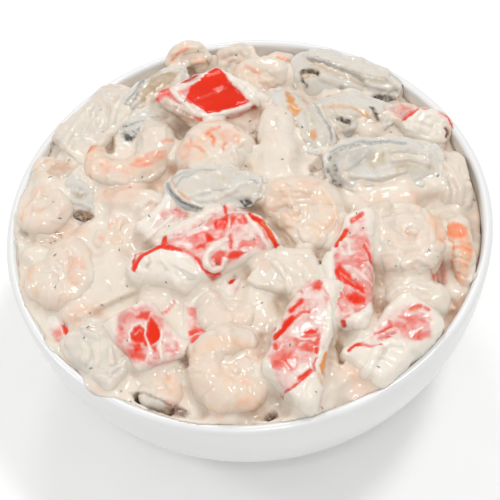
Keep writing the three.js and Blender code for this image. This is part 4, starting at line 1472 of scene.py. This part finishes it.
# %% Paint mussel_back_right_low and mussel_back_left
paint(
    "mussel_back_right_low",
    area("bare", 0.3, "314,108 350,104 380,112 384,132 340,138 316,126"),
    stroke("warm", 0.75, 2.6, "351,108 358,110 364,114 370,118"),
    stroke("warm", 0.3, 4, "318,108 332,106 350,108"),
    area("dark", 0.9, "336,119 341,117 347,120 352,121 350,125 342,123"),
    stroke("dark", 0.6, 3, "326,126 330,128 336,128"),
    stroke("dark", 0.75, 3.4, "371,108 375,110 377,115 377,120"),
    stroke("bare", 0.7, 3, "374,112 377,120"),
    # painted grey shade along its lower edge
    area("cool", 0.45, "334,132 350,131 364,133 350,138"),
    stroke("warm", 0.5, 3, "384,108 387,114"),
    fold(0.5, 4, "328,116 342,112 356,114"),
    fold(-0.5, 4, "338,120 348,122"),
    fold(0.4, 5, "352,128 364,122 372,124")
)
paint(
    "mussel_back_left",
    area("bare", 0.4, "118,124 122,108 140,86 160,70 180,72 170,90 140,112"),
    area("bare", 0.85, "141,92 152,76 168,71 179,73 176,80 160,91 148,102 140,103"),
    stroke("cool", 0.8, 3, "115,119 124,106 133,96 140,84 148,76"),
    stroke("dark", 0.3, 1.4, "126,110 136,98 142,84 150,76"),
    area("cool", 0.6, "145,74 149,67 158,66 161,72 152,76"),
    area("cool", 0.35, "115,124 120,112 134,100 138,104 126,120"),
    fold(0.6, 5, "118,124 126,112 136,102"),
    fold(0.6, 3, "118,116 128,103 138,92 144,80"),
    fold(-0.4, 2, "124,114 134,102 142,92")
)

# %% Paint mussel_foot and mussel_bit
paint(
    "mussel_foot",
    area("bare", 0.65, "159,104 168,99 186,106 200,124 180,116 162,112"),
    stroke("bare", 0.95, 1.4, "164,104 180,109 196,121"),
    stroke("bare", 0.9, 1.4, "162,109 178,114 192,122"),
    fold(-0.35, 1.6, "164,105 180,110 196,122"),
    stroke("dark", 0.7, 3, "163,114 176,117 190,122 200,127"),
    area("cool", 0.3, "114,128 128,122 146,124 144,138 126,142"),
    area("dark", 0.9, "122,134 126,133 134,137 132,141 126,140"),
    stroke("dark", 0.6, 2.6, "135,135 139,131 145,128"),
    stroke("dark", 0.4, 1.6, "115,129 126,127 140,122 160,117"),
    fold(0.5, 4, "126,131 136,128 146,126"),
    stroke("bare", 0.4, 5, "142,118 154,112")
)
paint(
    "mussel_bit",
    area("cool", 0.12, "66,186 80,180 96,200 92,214 76,206", 3.0),
    area("bare", 0.7, "73,193 80,190 87,195 82,199 75,198", 3.0),
    fold(0.8, 5, "68,184 80,184 92,192"),
    fold(-0.5, 3, "74,195 84,196"),
    fold(0.7, 4, "74,202 84,204 92,208"),
    stroke("warm", 0.25, 1.6, "74,204 74,212"),
    # a hollow pushed in, with tan painted shade in it
    fold(-2.2, 8, "80,215 88,218"),
    area("painted_shade", 0.95, "73,210 91,210 94,218 84,222 75,218")
)

# %% Paint white_left_rim, white_centre, lobe and lump_right
paint(
    "white_left_rim",
    area("cool", 0.22, "50,140 78,100 104,84 138,86 112,130 90,152", 4.0),
    stroke("warm", 0.45, 2.6, "101,86 110,84 118,82 128,83 137,87"),
    stroke("bare", 0.4, 4, "104,88 120,87 134,89"),
    fold(0.8, 5, "62,150 74,128 92,106"),
    fold(-0.7, 4, "74,148 86,126 100,108"),
    fold(0.9, 5, "122,98 115,110 112,122"),
    fold(-0.7, 4, "108,104 108,118 106,130"),
    fold(0.6, 6, "92,128 98,118 100,104"),
    fold(0.4, 4, "104,94 116,96 128,94"),
    stroke("bare", 0.35, 6, "104,128 100,138 92,146"),
    stroke("bare", 0.3, 3, "54,138 66,118 80,104")
)
paint(
    "white_centre",
    stroke("bare", 0.6, 1.4, "294,256 300,255 306,257"),
    fold(-0.6, 3, "296,262 303,270 304,280"),
    fold(0.8, 5, "262,255 276,264 286,278 290,292"),
    stroke("bare", 0.35, 5, "306,262 314,272 310,286"),
    stroke("bare", 0.4, 4, "284,292 296,298 308,296")
)
paint(
    "lobe",
    stroke("bare", 0.3, 4, "276,118 274,130 274,142"),
    fold(-0.25, 3, "277,122 275,136"),
    fold(0.3, 6, "268,122 266,136 268,150")
)
paint(
    "lump_right",
    stroke("warm", 0.2, 2.4, "404,306 416,301 430,300"),
    stroke("bare", 0.4, 4, "396,296 410,292 428,294"),
    fold(0.5, 4, "398,290 414,286 430,290")
)

# %% Paint lump_front_left
paint(
    "lump_front_left",
    area("cool", 0.3, "64,330 90,316 122,330 130,370 100,390 72,376", 4.0),
    fold(0.8, 4, "76,324 92,321 112,322"),
    fold(-0.7, 3, "76,330 90,330 106,330"),
    fold(0.7, 4, "84,332 98,338 112,336"),
    fold(1.0, 8, "70,344 80,342 88,350 86,360"),
    fold(-0.8, 5, "96,344 98,360 92,374"),
    fold(1.0, 7, "110,350 112,362"),
    fold(-0.6, 4, "100,372 112,376 120,370"),
    stroke("bare", 0.3, 8, "96,350 96,368")
)

# %% [markdown]
# ## The coat
# Where a piece isn't bare, the dressing on it is about half a millimetre thick and lies in folds.
# So the covered parts are raised, and the skin stays low, with a soft step between them.

# %% Raise the coat
for piece in food.values():
    on_it = piece.paint
    shown = np.maximum(on_it["bare"], np.maximum(on_it["dark"], 0.6 * on_it["warm"]))
    calm = 0.3 if piece.name in ("lobe", "prawn_rim_right_up") else 1.0
    coat = 0.4 + calm * (0.35 * folds(piece.points, 9, piece.seed)
                         + 0.5 * ripple(piece.points, 6, piece.seed)
                         + 0.12 * ripple(piece.points, 2, piece.seed))
    piece.push((1 - np.clip(shown, 0, 1)) * coat - 0.25)
print("the coat is on", len(food), "pieces")

# %% [markdown]
# ## The dressing
# The dressing fills the bowl and climbs between the pieces in soft fillets. It can't be modelled
# piece by piece. Instead all the pieces and a low mound are poured into one distance grid, with
# bumps for the food that the dressing hides, smears on the lip and loose strands. Its surface is
# grown outwards, which closes every crease, and then shrunk back by a little more, which leaves
# fillets in the creases and lets the pieces stand out of it.
# The mound leans, because in the photograph the wall is bare at the back right.

# %% A low mound
HEAP_MIDDLE = 2.0         # mm above the rim, in the middle
HEAP_FRONT = -1.2         # mm above the rim, at the wall, front left
HEAP_BACK = -6.5          # the same, back right
LOW_SIDE = math.radians(40)
INTO_WALL = 0.7           # mm, so that no gap opens at the porcelain
SURFACE_DEPTH = 15.0      # below this the dressing is hidden and gets a coarse body of its own
MOUND_SIDES = 120


def wall_level(to_low_side):
    """The level at the wall, from the cosine of the angle to the low side."""
    return HEAP_FRONT + (HEAP_BACK - HEAP_FRONT) * (1 + to_low_side) / 2


def mound():
    """A low mound that leans from the front left to the back right, down to the hidden body."""
    around = np.linspace(0, 2 * np.pi, MOUND_SIDES, endpoint=False)
    wall = wall_level(np.cos(around - LOW_SIDE))
    rings = []
    for reach in np.linspace(0.02, 1, 40):
        radius = reach * (inner_radius(-wall) + INTO_WALL)
        level = wall + (HEAP_MIDDLE - wall) * (1 - reach ** 2)
        rings.append(np.column_stack([radius * np.cos(around), radius * np.sin(around), level]))
    for depth in np.linspace(12.5, SURFACE_DEPTH, 4):
        radius = inner_radius(depth) + INTO_WALL
        rings.append(np.column_stack([radius * np.cos(around), radius * np.sin(around),
                                      np.full(MOUND_SIDES, -depth)]))
    return rings_body(np.array(rings)[:, ::-1])


# %% Food that the dressing hides
LUMPS = 60
STREWN = 74               # mm, how far from the middle a lump may lie
FLAT_TO = 80              # mm from the middle, where the mound would reach the wall's level
draw = np.random.default_rng(7)


def cream_lumps():
    """Bits of food that the dressing hides, so that it isn't flat between the pieces."""
    bodies = []
    for _ in range(LUMPS):
        reach, around = STREWN * math.sqrt(draw.uniform(0, 1)), draw.uniform(0, 2 * math.pi)
        wall = wall_level(math.cos(around - LOW_SIDE))
        level = wall + (HEAP_MIDDLE - wall) * (1 - (reach / FLAT_TO) ** 2) + draw.uniform(-1.5, 1.5)
        at = (reach * math.cos(around), reach * math.sin(around), level)
        shape = lump(draw.uniform(8, 15), draw.uniform(6, 10), draw.uniform(5, 8))
        bodies += placed(shape, lie(at, draw.uniform(0, 360), draw.uniform(-20, 20)))
    return bodies


CREAM_BUMPS = {           # pixel: level, length, width, height, heading
    (263, 316): (3, 13, 8, 8, 70), (306, 303): (3, 12, 9, 8, 0), (48, 190): (0, 14, 10, 9, 60),
    (104, 388): (-2, 14, 9, 7, -30), (330, 395): (-2, 12, 8, 8, 40), (455, 200): (-5, 12, 9, 8, 80),
    (92, 232): (1, 14, 9, 8, 30), (118, 276): (1, 16, 9, 8, 60), (100, 292): (0, 15, 8, 7, 20),
    (357, 388): (-3, 13, 9, 8, 40), (232, 222): (3, 12, 7, 8, 10), (148, 232): (3, 12, 8, 8, 30),
    (278, 152): (6, 18, 15, 10, 85), (388, 200): (2, 14, 9, 8, 0), (402, 196): (2, 13, 10, 8, 0),
    (277, 168): (4.5, 17, 16, 10, 60), (400, 113): (-3, 14, 9, 8, 0), (434, 182): (1, 12, 8, 8, 60),
    (130, 198): (4, 16, 8, 7, 5), (165, 128): (2, 13, 9, 8, 20), (155, 303): (2, 13, 9, 8, 0),
    (168, 322): (1.5, 11, 8, 7, 60), (335, 104): (-2, 14, 9, 8, 10), (360, 200): (1, 14, 10, 8, 0),
    (245, 124): (-1, 13, 9, 8, 0), (182, 122): (1, 12, 8, 8, 20), (68, 198): (-1, 11, 9, 8, 80),
    (143, 201): (4, 13, 8, 7, 10), (110, 201): (2, 9, 7, 6, -60), (262, 268): (5, 9, 7, 8, 70),
    (255, 296): (4, 12, 8, 8, 80), (215, 248): (3, 12, 8, 8, 0), (330, 205): (4, 10, 8, 8, 30),
    (112, 262): (2, 14, 9, 8, 70), (130, 285): (1, 16, 7, 7, 25), (178, 300): (1, 12, 9, 7, 0),
    (385, 330): (0, 12, 8, 8, 40), (345, 375): (0, 12, 8, 8, 60), (430, 300): (-2, 11, 9, 8, 50),
}

# %% Smears on the lip and loose strands
def smear(start, end, radius, thickness):
    """A smear of dressing that lies on the lip between two angles."""
    angle = np.radians(np.linspace(start, end, 24))
    swell = np.sin(np.linspace(0.25, math.pi - 0.25, 24))
    wave = radius + 0.35 * np.sin(9 * angle)
    route = np.column_stack([wave * np.cos(angle), wave * np.sin(angle), 0.1 + 0 * angle])
    return tube(route, thickness * swell, flat=0.5)


def relax_line(route):
    """Round the corners of a line and keep its ends."""
    for _ in range(8):
        route[1:-1] = (route[:-2] + 2 * route[1:-1] + route[2:]) / 4
    return route


def strand(thickness, *stops):
    """A strand of dressing through stops of (pixel, pixel, level)."""
    ends = np.array([at_pixel(stop[:2], stop[2]) for stop in stops])
    even = np.linspace(0, len(ends) - 1, 30)
    route = np.column_stack([np.interp(even, np.arange(len(ends)), ends[:, axis])
                             for axis in range(3)])
    return tube(relax_line(route), thickness * np.sin(np.linspace(0.35, math.pi - 0.35, 30)) ** 0.5)


STRANDS = [               # thickness, and stops of pixel x, pixel y and level
    (2.3, (386, 111, 1), (398, 118, 1), (408, 126, 0.5), (418, 136, -1), (430, 147, -3)),
    (1.6, (76, 320, -0.5), (94, 308, 0.5), (108, 301, 1), (122, 295, 1), (138, 288, 0)),
    (1.7, (251, 43, 3), (254, 50, 2), (252, 62, 0)),
]
SMEARS = [                # start and end in degrees, distance from the axis and thickness in mm
    (188, 204, 82.2, 1.5), (206, 219, 82.6, 1.3), (221, 236, 82.4, 1.6), (238, 262, 82.0, 1.3),
    (266, 284, 82.0, 1.1), (288, 300, 81.9, 1.0), (160, 180, 82.0, 1.2), (322, 338, 81.8, 1.0),
]

# %% Pour the dressing
FILLET = 2.0              # mm, how far the surface is grown and shrunk
UNDER = 0.5               # mm, how far the dressing lies under the skin of the pieces
CREVICE = 3.2             # mm, the ball that can't go into a crevice


def largest_body(points, faces):
    """Leave out the tiny bodies that shrinking cuts off, by spreading labels over the faces."""
    label = np.arange(len(points))
    while True:
        lowest = label.copy()
        np.minimum.at(lowest, faces, label[faces].min(axis=1)[:, None])
        lowest = lowest[lowest]
        if np.array_equal(lowest, label):
            break
        label = lowest
    kept = label == np.bincount(label).argmax()
    faces = (np.cumsum(kept) - 1)[faces[kept[faces[:, 0]]]]
    return points[kept], faces


hills = cream_lumps() + [smear(*row) for row in SMEARS] + [strand(*row) for row in STRANDS]
for pixel, (level, *size, heading) in CREAM_BUMPS.items():
    hills += placed(lump(*size), lie(at_pixel(pixel, level), heading))
poured = level_set([(p.points, p.faces) for p in food.values()] + [mound()] + hills, COARSE,
                   CREVICE + 2 * COARSE)
grown = level_set([skin_of(poured, FILLET)], COARSE, FILLET + UNDER + 2 * COARSE)
points, faces = largest_body(*skin_of(grown, -FILLET - UNDER))
print("the dressing has", len(points), "points")

# %% [markdown]
# ## Crevices
# Light hardly reaches between the pieces, so a tan painted shade goes there, on the dressing and
# on the pieces alike. A ball that can't go in finds those places: the poured shape is grown by the
# ball's radius, and what lies much deeper under that than the radius is in a crevice.

# %% Find the crevices
cover = level_set([skin_of(poured, CREVICE)], COARSE, 2.2 * CREVICE)
CREVICE_SHADE = 0.5


def value_in(grid, points, voxel):
    """The distance that a grid holds at each point."""
    corner = np.floor(points.min(axis=0) / voxel).astype(int) - 2
    size = np.ceil(points.max(axis=0) / voxel).astype(int) + 3 - corner
    box = np.empty(size, np.float32)
    grid.copyToArray(box, ijk=tuple(int(c) for c in corner))
    at = points / voxel - corner
    cell = np.floor(at).astype(int)
    part = at - cell
    total = np.zeros(len(points))
    for step in np.ndindex(2, 2, 2):
        weight = np.prod(np.where(step, part, 1 - part), axis=1)
        total += weight * box[tuple((cell + step).T)]
    return total


def paint_crevice_shade(piece):
    """Paint tan shade where a point lies far in between its neighbours."""
    depth = -CREVICE - value_in(cover, piece.points, COARSE)
    shade = CREVICE_SHADE * smooth_step(0.7, 2.1, depth)
    piece.paint["painted_shade"] = np.maximum(piece.paint["painted_shade"], shade)


# %% [markdown]
# ## Paint that shows through
# Where the dressing is thin over a piece, its red, orange or grey shows through. Each point of the
# dressing takes a share of the paint of the nearest point of food, found with a search tree.

# %% Paint that spreads from the pieces into the dressing
def borrow_paint(film, reach=1.6):
    """Take paint from food that lies no further below than the reach."""
    tree = KDTree(sum(len(piece.points) for piece in food.values()))
    owners = []
    for piece in food.values():
        for spot, point in enumerate(piece.points.tolist()):
            tree.insert(point, len(owners))
            owners.append((piece, spot))
    tree.balance()
    for index, point in enumerate(film.points.tolist()):
        _, near, away = tree.find(point)
        if away >= reach:
            continue
        piece, spot = owners[near]
        share = 0.9 * (1 - away / reach)
        for channel in CHANNELS:
            into, value = channel, share * piece.paint[channel][spot]
            if channel == "bare" and piece.slot != "surimi":
                into, value = "warm", 0.35 * value
            film.paint[into][index] = max(film.paint[into][index], value)


# %% [markdown]
# ## Folds and gaps in the dressing
# Stirred cream lies in slow waves with a few thin ridges, so noise moves it up and down. Then the
# strokes of the photograph go on: the ridges that stand out, and the dark gaps between pieces,
# which are pushed in as well as painted, in a brown that is partly the liquid and partly painted
# shade. Last of all, the creases get a tan painted shade.

# %% Fold and paint the dressing
dressing = Painted("dressing", "dressing", 60,
                   press_to_bowl(relax(points, faces, ROUNDS + 1), air=0.08), faces)
borrow_paint(dressing)
dressing.paint["warm"] = np.maximum(
    dressing.paint["warm"], 0.25 * smooth_step(0.0, 0.5, ripple(dressing.points, 12, 64)))
flow = 0.45 * ripple(dressing.points, 8, 61) + 0.06 * ripple(dressing.points, 2.5, 62) \
    + 0.4 * folds(dressing.points, 10, 63)
skin_below = np.max([dressing.paint[channel] for channel in CHANNELS], axis=0)
flow -= 0.7 * smooth_step(0.1, 0.5, skin_below)
dressing.push(flow * smooth_step(-14, -8, dressing.points[:, 2]))
dressing.follow(
    stroke("warm", 0, 12, "386,113 398,119 408,126 418,136 430,147", 3.0),
    fold(-0.6, 3, "392,124 402,132 412,142"),
    area("bare", 0.6, "388,109 398,103 412,104 413,110 405,121 398,119"),
    area("dark", 0.15, "388,109 398,103 412,104 413,110 405,121 398,119"),
    fold(1.3, 6, "80,317 92,310 106,302 120,295 134,290"),
    fold(-0.5, 3, "88,318 104,309 122,301"),
    stroke("bare", 0.75, 3, "157,317 166,312 172,305 174,301"),
    stroke("bare", 0.25, 4, "112,224 117,221"),
    fold(0.8, 5, "140,206 152,198 160,204"),
    # gaps between the pieces: each is pushed in and painted tan, brown and grey, partly brown liquid
    # and partly painted shade
    fold(-3.0, 6, "110,142 110,149"),
    area("painted_shade", 0.9, "104,138 114,136 116,146 106,148"),
    area("cool", 0.6, "106,147 115,146 110,153"),
    fold(-3.0, 6, "78,215 88,218"),
    area("painted_shade", 0.9, "74,211 90,212 93,219 84,221 75,217"),
    area("cool", 0.7, "74,217 84,220 88,224 80,227"),
    fold(-3.5, 6, "254,136 256,140"),
    area("dark", 0.8, "252,133 258,131 258,140 255,142"),
    fold(-3.0, 8, "314,168 322,160"),
    area("dark", 0.7, "310,176 318,164 328,156 330,162 320,172"),
    fold(-3.0, 4, "315,259 319,261"),
    area("dark", 0.9, "313,257 320,259 319,263 315,260", 1.0),
    fold(-3.0, 6, "181,352 184,364"),
    area("painted_shade", 0.9, "175,345 188,344 190,356 184,371 180,362"),
    fold(-4.0, 8, "140,398 156,404 170,410"),
    area("dark", 0.75, "130,394 140,391 160,396 190,412 186,418 150,410"),
    area("cool", 0.7, "134,398 150,397 164,404 160,409 142,404"),
    fold(-2.0, 6, "268,417 274,414"),
    area("dark", 0.95, "264,420 270,414 277,411 277,418", 1.5),
    fold(-3.0, 5, "339,346 341,360"),
    area("painted_shade", 0.9, "335,340 342,338 344,354 340,366 336,352"),
    fold(-3.0, 4, "382,318 384,323"),
    area("dark", 0.8, "379,318 386,316 385,324 380,323"),
    fold(-2.5, 4, "427,343 433,348"),
    area("dark", 0.7, "424,342 432,342 434,348 427,348"),
    fold(-2.0, 5, "440,264 442,282"),
    area("bare", 0.6, "430,264 440,256 447,270 446,298 434,296"),
    # a painted shadow line down the gap
    stroke("dark", 0.45, 3, "438,264 440,280 438,294"),
    # painted grey shade below surimi_back
    area("cool", 0.4, "228,124 258,124 256,132 240,130"),
    area("cool", 0.35, "150,114 176,122 202,130 190,141 160,138", 3.0),
    # painted grey shade in the gap at the wall
    area("cool", 0.35, "468,218 480,222 478,244 470,240"),
    stroke("dark", 0.5, 2, "55,231 61,236")
)
# tan painted shade in every crease, on the dressing and on the pieces
for piece in (dressing, *food.values()):
    paint_crevice_shade(piece)
dressing.show(dressing_cream)
MATERIALS = {"prawn": prawn_flesh, "surimi": surimi_skin, "mussel": mussel_flesh,
             "white_fish": white_flesh, "dressing": white_flesh}
for piece in food.values():
    piece.show(MATERIALS[piece.slot])
print("the salad shows", 1 + len(food), "pieces")

# %% [markdown]
# ## The bowl
# The bowl is plain glazed porcelain, turned on a wheel, so it is one outline spun round its axis.
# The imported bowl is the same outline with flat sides; a smooth one replaces it.

# %% Turn the bowl
AROUND = 192


def bowl_outline():
    """From the middle of the inside over the lip and down to the foot ring, as (radius, level)."""
    underside = BOWL_HEIGHT - FOOT_HEIGHT
    line = [(0.0, -INNER_DEPTH)]
    for depth in INNER_DEPTH * (1 - np.linspace(0, 1, 44) ** 2)[1:-1]:
        if depth > LIP / 2:
            line.append((float(inner_radius(depth)), -depth))
    for angle in np.radians(np.linspace(180, 0, 13)):
        line.append((LIP_RADIUS + LIP / 2 * math.cos(angle), LIP / 2 * (math.sin(angle) - 1)))
    for depth in np.linspace(LIP, underside - 1.2, 44):
        line.append((float(outer_radius(depth)), -depth))
    foot = float(outer_radius(underside))
    # a short step in, the foot ring with its rounded edges, and the hollow under the bowl
    line += [(foot - 0.1, -underside + 0.2), (foot - 0.2, -underside - 0.6),
             (foot - 0.6, -BOWL_HEIGHT + 0.5), (foot - 1.1, -BOWL_HEIGHT),
             (foot - 4.0, -BOWL_HEIGHT), (foot - 4.6, -BOWL_HEIGHT + 0.5),
             (foot - 5.5, -underside), (0.0, -underside)]
    return np.array(line)


outline = bowl_outline()
angle = np.linspace(0, 2 * np.pi, AROUND, endpoint=False)
rings = np.stack([outline[:, :1] * np.cos(angle), outline[:, :1] * np.sin(angle),
                  np.repeat(outline[:, 1:], AROUND, axis=1)], axis=-1)[:, ::-1]
bowl = Painted("bowl", "porcelain", 70, *rings_body(rings[1:-1]))
print("the outline has", len(outline), "points")

# %% [markdown]
# ## Porcelain
# Glaze is white, very smooth and a little uneven, so its highlights are long and soft-edged. On
# the inside a film of dressing runs up the wall above the salad; it is painted as warm, in a colour
# lighter than the glaze, so it is partly the milky film and partly painted light that lifts the
# shade in the gap by the food.

# %% Glaze the bowl
SAME_PLACE = 1e-7         # m


def weld(mesh):
    """Join the points that meet at the two ends of a body of rings."""
    work = bmesh.new()
    work.from_mesh(mesh)
    bmesh.ops.remove_doubles(work, verts=work.verts, dist=SAME_PLACE)
    work.to_mesh(mesh)
    work.free()


def porcelain():
    n = Nodes("porcelain_glaze")
    film = n.broken(n.attribute("warm"), n.noise(260, 4.0), 1.4)
    cloud = n.noise(25, 2.0)
    white = n.mix(cloud, tint(224, 225, 225), tint(228, 228, 227))
    # the film mixes in a colour lighter than the glaze: milky dressing, and painted light in the
    # shaded gap
    n.put(n.mix(film, white, tint(243, 240, 231)), n.shader.inputs["Base Color"])
    s = n.shader.inputs
    n.put(n.math("ADD", 0.3, n.math("MULTIPLY", film, 0.1)), s["Roughness"])
    s["Coat Weight"].default_value = 0.35
    s["Coat Roughness"].default_value = 0.08
    return n.material


inside = bowl.points[:, 2] < -1
inward = (bowl.normals[:, :2] * bowl.points[:, :2]).sum(axis=1) < 0
level = bowl.points[:, 2] + 2.5 * ripple(bowl.points, 9, 71)
# the film is full low on the inner wall and fades out towards the rim: milky dressing and painted
# light in one
bowl.paint["warm"] = np.where(inside & inward, 0.85 * (1 - smooth_step(-5, -1.5, level)), 0)
weld(bowl.show(porcelain()).data)
print("the bowl has", len(bowl.faces), "faces before its ends are welded")

# %% [markdown]
# ## Herb flecks
# Tiny flecks of herb lie on the dressing. Their places are pixels of the photograph, cast along
# the line of sight onto the food, so that each lies on what carries it from every side. Some
# more, too small to make out in the photograph, are strewn by a seeded draw. All are one mesh.

# %% Strew the herbs
HERBS = path("101,110 50,177 142,177 246,166 149,216 51,243 55,241 55,255 91,368 391,132 470,180"
             " 474,200 350,233 254,239 262,303 88,327 281,396 316,392 322,408 69,160 55,287"
             " 102,305 121,298 127,286 137,303 84,338 121,391 198,51 236,55 218,264 355,280"
             " 332,339 378,367 363,228 396,266 438,176 429,250 290,345 185,101 250,121 60,218"
             " 292,208")
FOOD_LEVEL = 0.04         # m above the floor; a ray that lands lower has missed the food
CHANCE_FLECKS = 26
bpy.context.view_layer.update()
looker = bpy.context.evaluated_depsgraph_get()


def land(start, direction):
    """Where a ray first meets something, and which way that faces."""
    hit, place, normal, *_ = bpy.context.scene.ray_cast(looker, start, direction)
    return (place, normal) if hit else (None, None)


def fleck(place, normal, long, wide):
    """A thin bent bit of leaf, turned by chance about the line that it stands on."""
    side = normal.orthogonal().normalized()
    side.rotate(Matrix.Rotation(draw.uniform(0, 2 * math.pi), 3, normal))
    other = normal.cross(side)
    turn = np.column_stack([side, other, normal])
    t = np.linspace(-1, 1, 6)
    route = np.column_stack([t * long / 2, 0.15 * long * t ** 2, 0.12 + 0.1 * t])
    points, faces = tube(route, wide / 2 * np.sqrt(1.05 - t ** 2), flat=0.3, sides=8)
    return points @ turn.T * MM + np.array(place), faces


flecks = []
for pixel in HERBS:
    place, normal = land(RIM_MIDDLE + Vector(eye * MM), Vector(sight_line(pixel)))
    if place is not None and place.z > FOOD_LEVEL:
        flecks.append(fleck(place, normal, draw.uniform(0.7, 1.5), draw.uniform(0.3, 0.55)))
for _ in range(CHANCE_FLECKS):
    reach, around = 76 * math.sqrt(draw.uniform(0, 1)), draw.uniform(0, 2 * math.pi)
    start = Vector((reach * math.cos(around) * MM, reach * math.sin(around) * MM, 0.2))
    place, normal = land(start, Vector((0, 0, -1)))
    if place is not None:
        flecks.append(fleck(place, normal, draw.uniform(0.5, 1.1), draw.uniform(0.3, 0.6)))


def herb_green():
    n = Nodes("herb_green")
    grain = n.noise(1500, 2.0)
    n.put(n.mix(grain, tint(96, 100, 84), tint(146, 148, 128)), n.shader.inputs["Base Color"])
    n.shader.inputs["Roughness"].default_value = 0.4
    n.shader.inputs["Coat Weight"].default_value = 0.4
    return n.material


def plain_piece(name, bodies, material):
    """A joined mesh of small bodies, already in metres."""
    starts = np.cumsum([0] + [len(points) for points, _ in bodies[:-1]])
    mesh = bpy.data.meshes.new(name)
    faces = np.vstack([faces + start for (_, faces), start in zip(bodies, starts)])
    mesh.from_pydata(np.vstack([points for points, _ in bodies]), [], faces.tolist())
    weld(mesh)
    mesh.polygons.foreach_set("use_smooth", np.ones(len(mesh.polygons), bool))
    mesh.materials.append(material)
    piece = bpy.data.objects.new(name, mesh)
    bpy.context.scene.collection.objects.link(piece)
    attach(piece, "root")
    return piece


plain_piece("herb_flecks", flecks, herb_green())
print(len(flecks), "flecks of herb")

# %% [markdown]
# ## The hidden dressing
# Under what shows, the dressing only has to fill the bowl, so that the heap isn't hollow. A body
# of rings along the inner wall, half a millimetre clear of it, does that with few faces.

# %% The dressing below the surface
HIDDEN_SIDES = 64


def hidden_body():
    """The dressing under the mesh that shows, with the wall's own form."""
    depths = np.linspace(SURFACE_DEPTH - 1, INNER_DEPTH - 0.6, 16)
    around = np.linspace(0, 2 * np.pi, HIDDEN_SIDES, endpoint=False)
    radius = (inner_radius(depths) - 0.5)[:, None]
    return np.stack([radius * np.cos(around), radius * np.sin(around),
                     np.repeat(-depths[:, None], HIDDEN_SIDES, axis=1)], axis=-1)[:, ::-1]


points, faces = rings_body(hidden_body())
below = plain_piece("dressing_below", [(points * MM + np.array(RIM_MIDDLE), faces)],
                    dressing_cream)
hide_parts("dressing")
print("the hidden body has", len(faces), "faces")

# %% [markdown]
# ## Floor and light
# A plain pale floor and soft light, as in a photographer's tent: a bright even surround, one
# lamp high above for the gloss on the dressing, and three weaker ones round it.

# %% Floor, lamps and surround
LAMP_SIZE = 0.25          # m
SURROUND = 0.62           # strength of the bright tent
FLOOR_SIZE = 3.0
UNDER_FOOT = 0.0002       # m, so that the floor and the foot ring don't share a face


def lamp(name, place, power):
    data = bpy.data.lights.new(name, "AREA")
    data.size = LAMP_SIZE
    data.energy = power
    light = bpy.data.objects.new(name, data)
    light.location = place
    light.rotation_euler = (RIM_MIDDLE - Vector(place)).to_track_quat("-Z", "Y").to_euler()
    bpy.context.scene.collection.objects.link(light)


lamp("lamp_above", (0.5, 0.2, 1.5), 6.0)
lamp("lamp_left", (-0.9, 0.1, 1.0), 2.0)
lamp("lamp_behind", (0.0, 1.0, 1.2), 2.5)
lamp("lamp_front", (0.0, -0.7, 1.4), 4.0)

world = bpy.data.worlds.new("tent")
bpy.context.scene.world = world
world.use_nodes = True
world.node_tree.nodes["Background"].inputs["Color"].default_value = (1, 1, 1, 1)
world.node_tree.nodes["Background"].inputs["Strength"].default_value = SURROUND

floor_mesh = bpy.data.meshes.new("floor")
half = FLOOR_SIZE / 2
floor_mesh.from_pydata([(-half, -half, 0), (half, -half, 0), (half, half, 0), (-half, half, 0)],
                       [], [(0, 1, 2, 3)])
floor = bpy.data.objects.new("floor", floor_mesh)
floor.location.z = -UNDER_FOOT
bpy.context.scene.collection.objects.link(floor)
paper = Nodes("pale_paper")
paper.put(paper.mix(paper.noise(40), tint(246, 246, 245), tint(250, 250, 249)),
          paper.shader.inputs["Base Color"])
paper.shader.inputs["Roughness"].default_value = 0.9
paper.shader.inputs["Specular IOR Level"].default_value = 0.0
floor_mesh.materials.append(paper.material)
bpy.context.scene.view_settings.view_transform = "Standard"
print("lamps:", len(bpy.data.lights), "and a floor", FLOOR_SIZE, "m wide")

# %% [markdown]
# ## Compare with the imported model
# The dressed pieces have to stay where the imported solids are. This cell prints how far each
# piece's box reaches beyond its node's box. The imported solids are cut by what lies on them and
# these pieces aren't, so a few millimetres are no surprise.

# %% Boxes
WORTH_PRINTING = 0.0015   # m

for name, piece in [*food.items(), ("dressing", dressing), ("bowl", bowl)]:
    low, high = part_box(name)
    mine = piece.points * MM + np.array(RIM_MIDDLE)
    beyond = max((np.array(low) - mine.min(axis=0)).max(), (mine.max(axis=0) - high).max())
    if beyond > WORTH_PRINTING:
        print(f"{name} reaches {beyond / MM:.1f} mm beyond its node")
triangles = 2 * sum(len(piece.faces) for piece in (dressing, bowl, *food.values()))
print("triangles in all:", triangles, "of which the dressing has", 2 * len(dressing.faces))
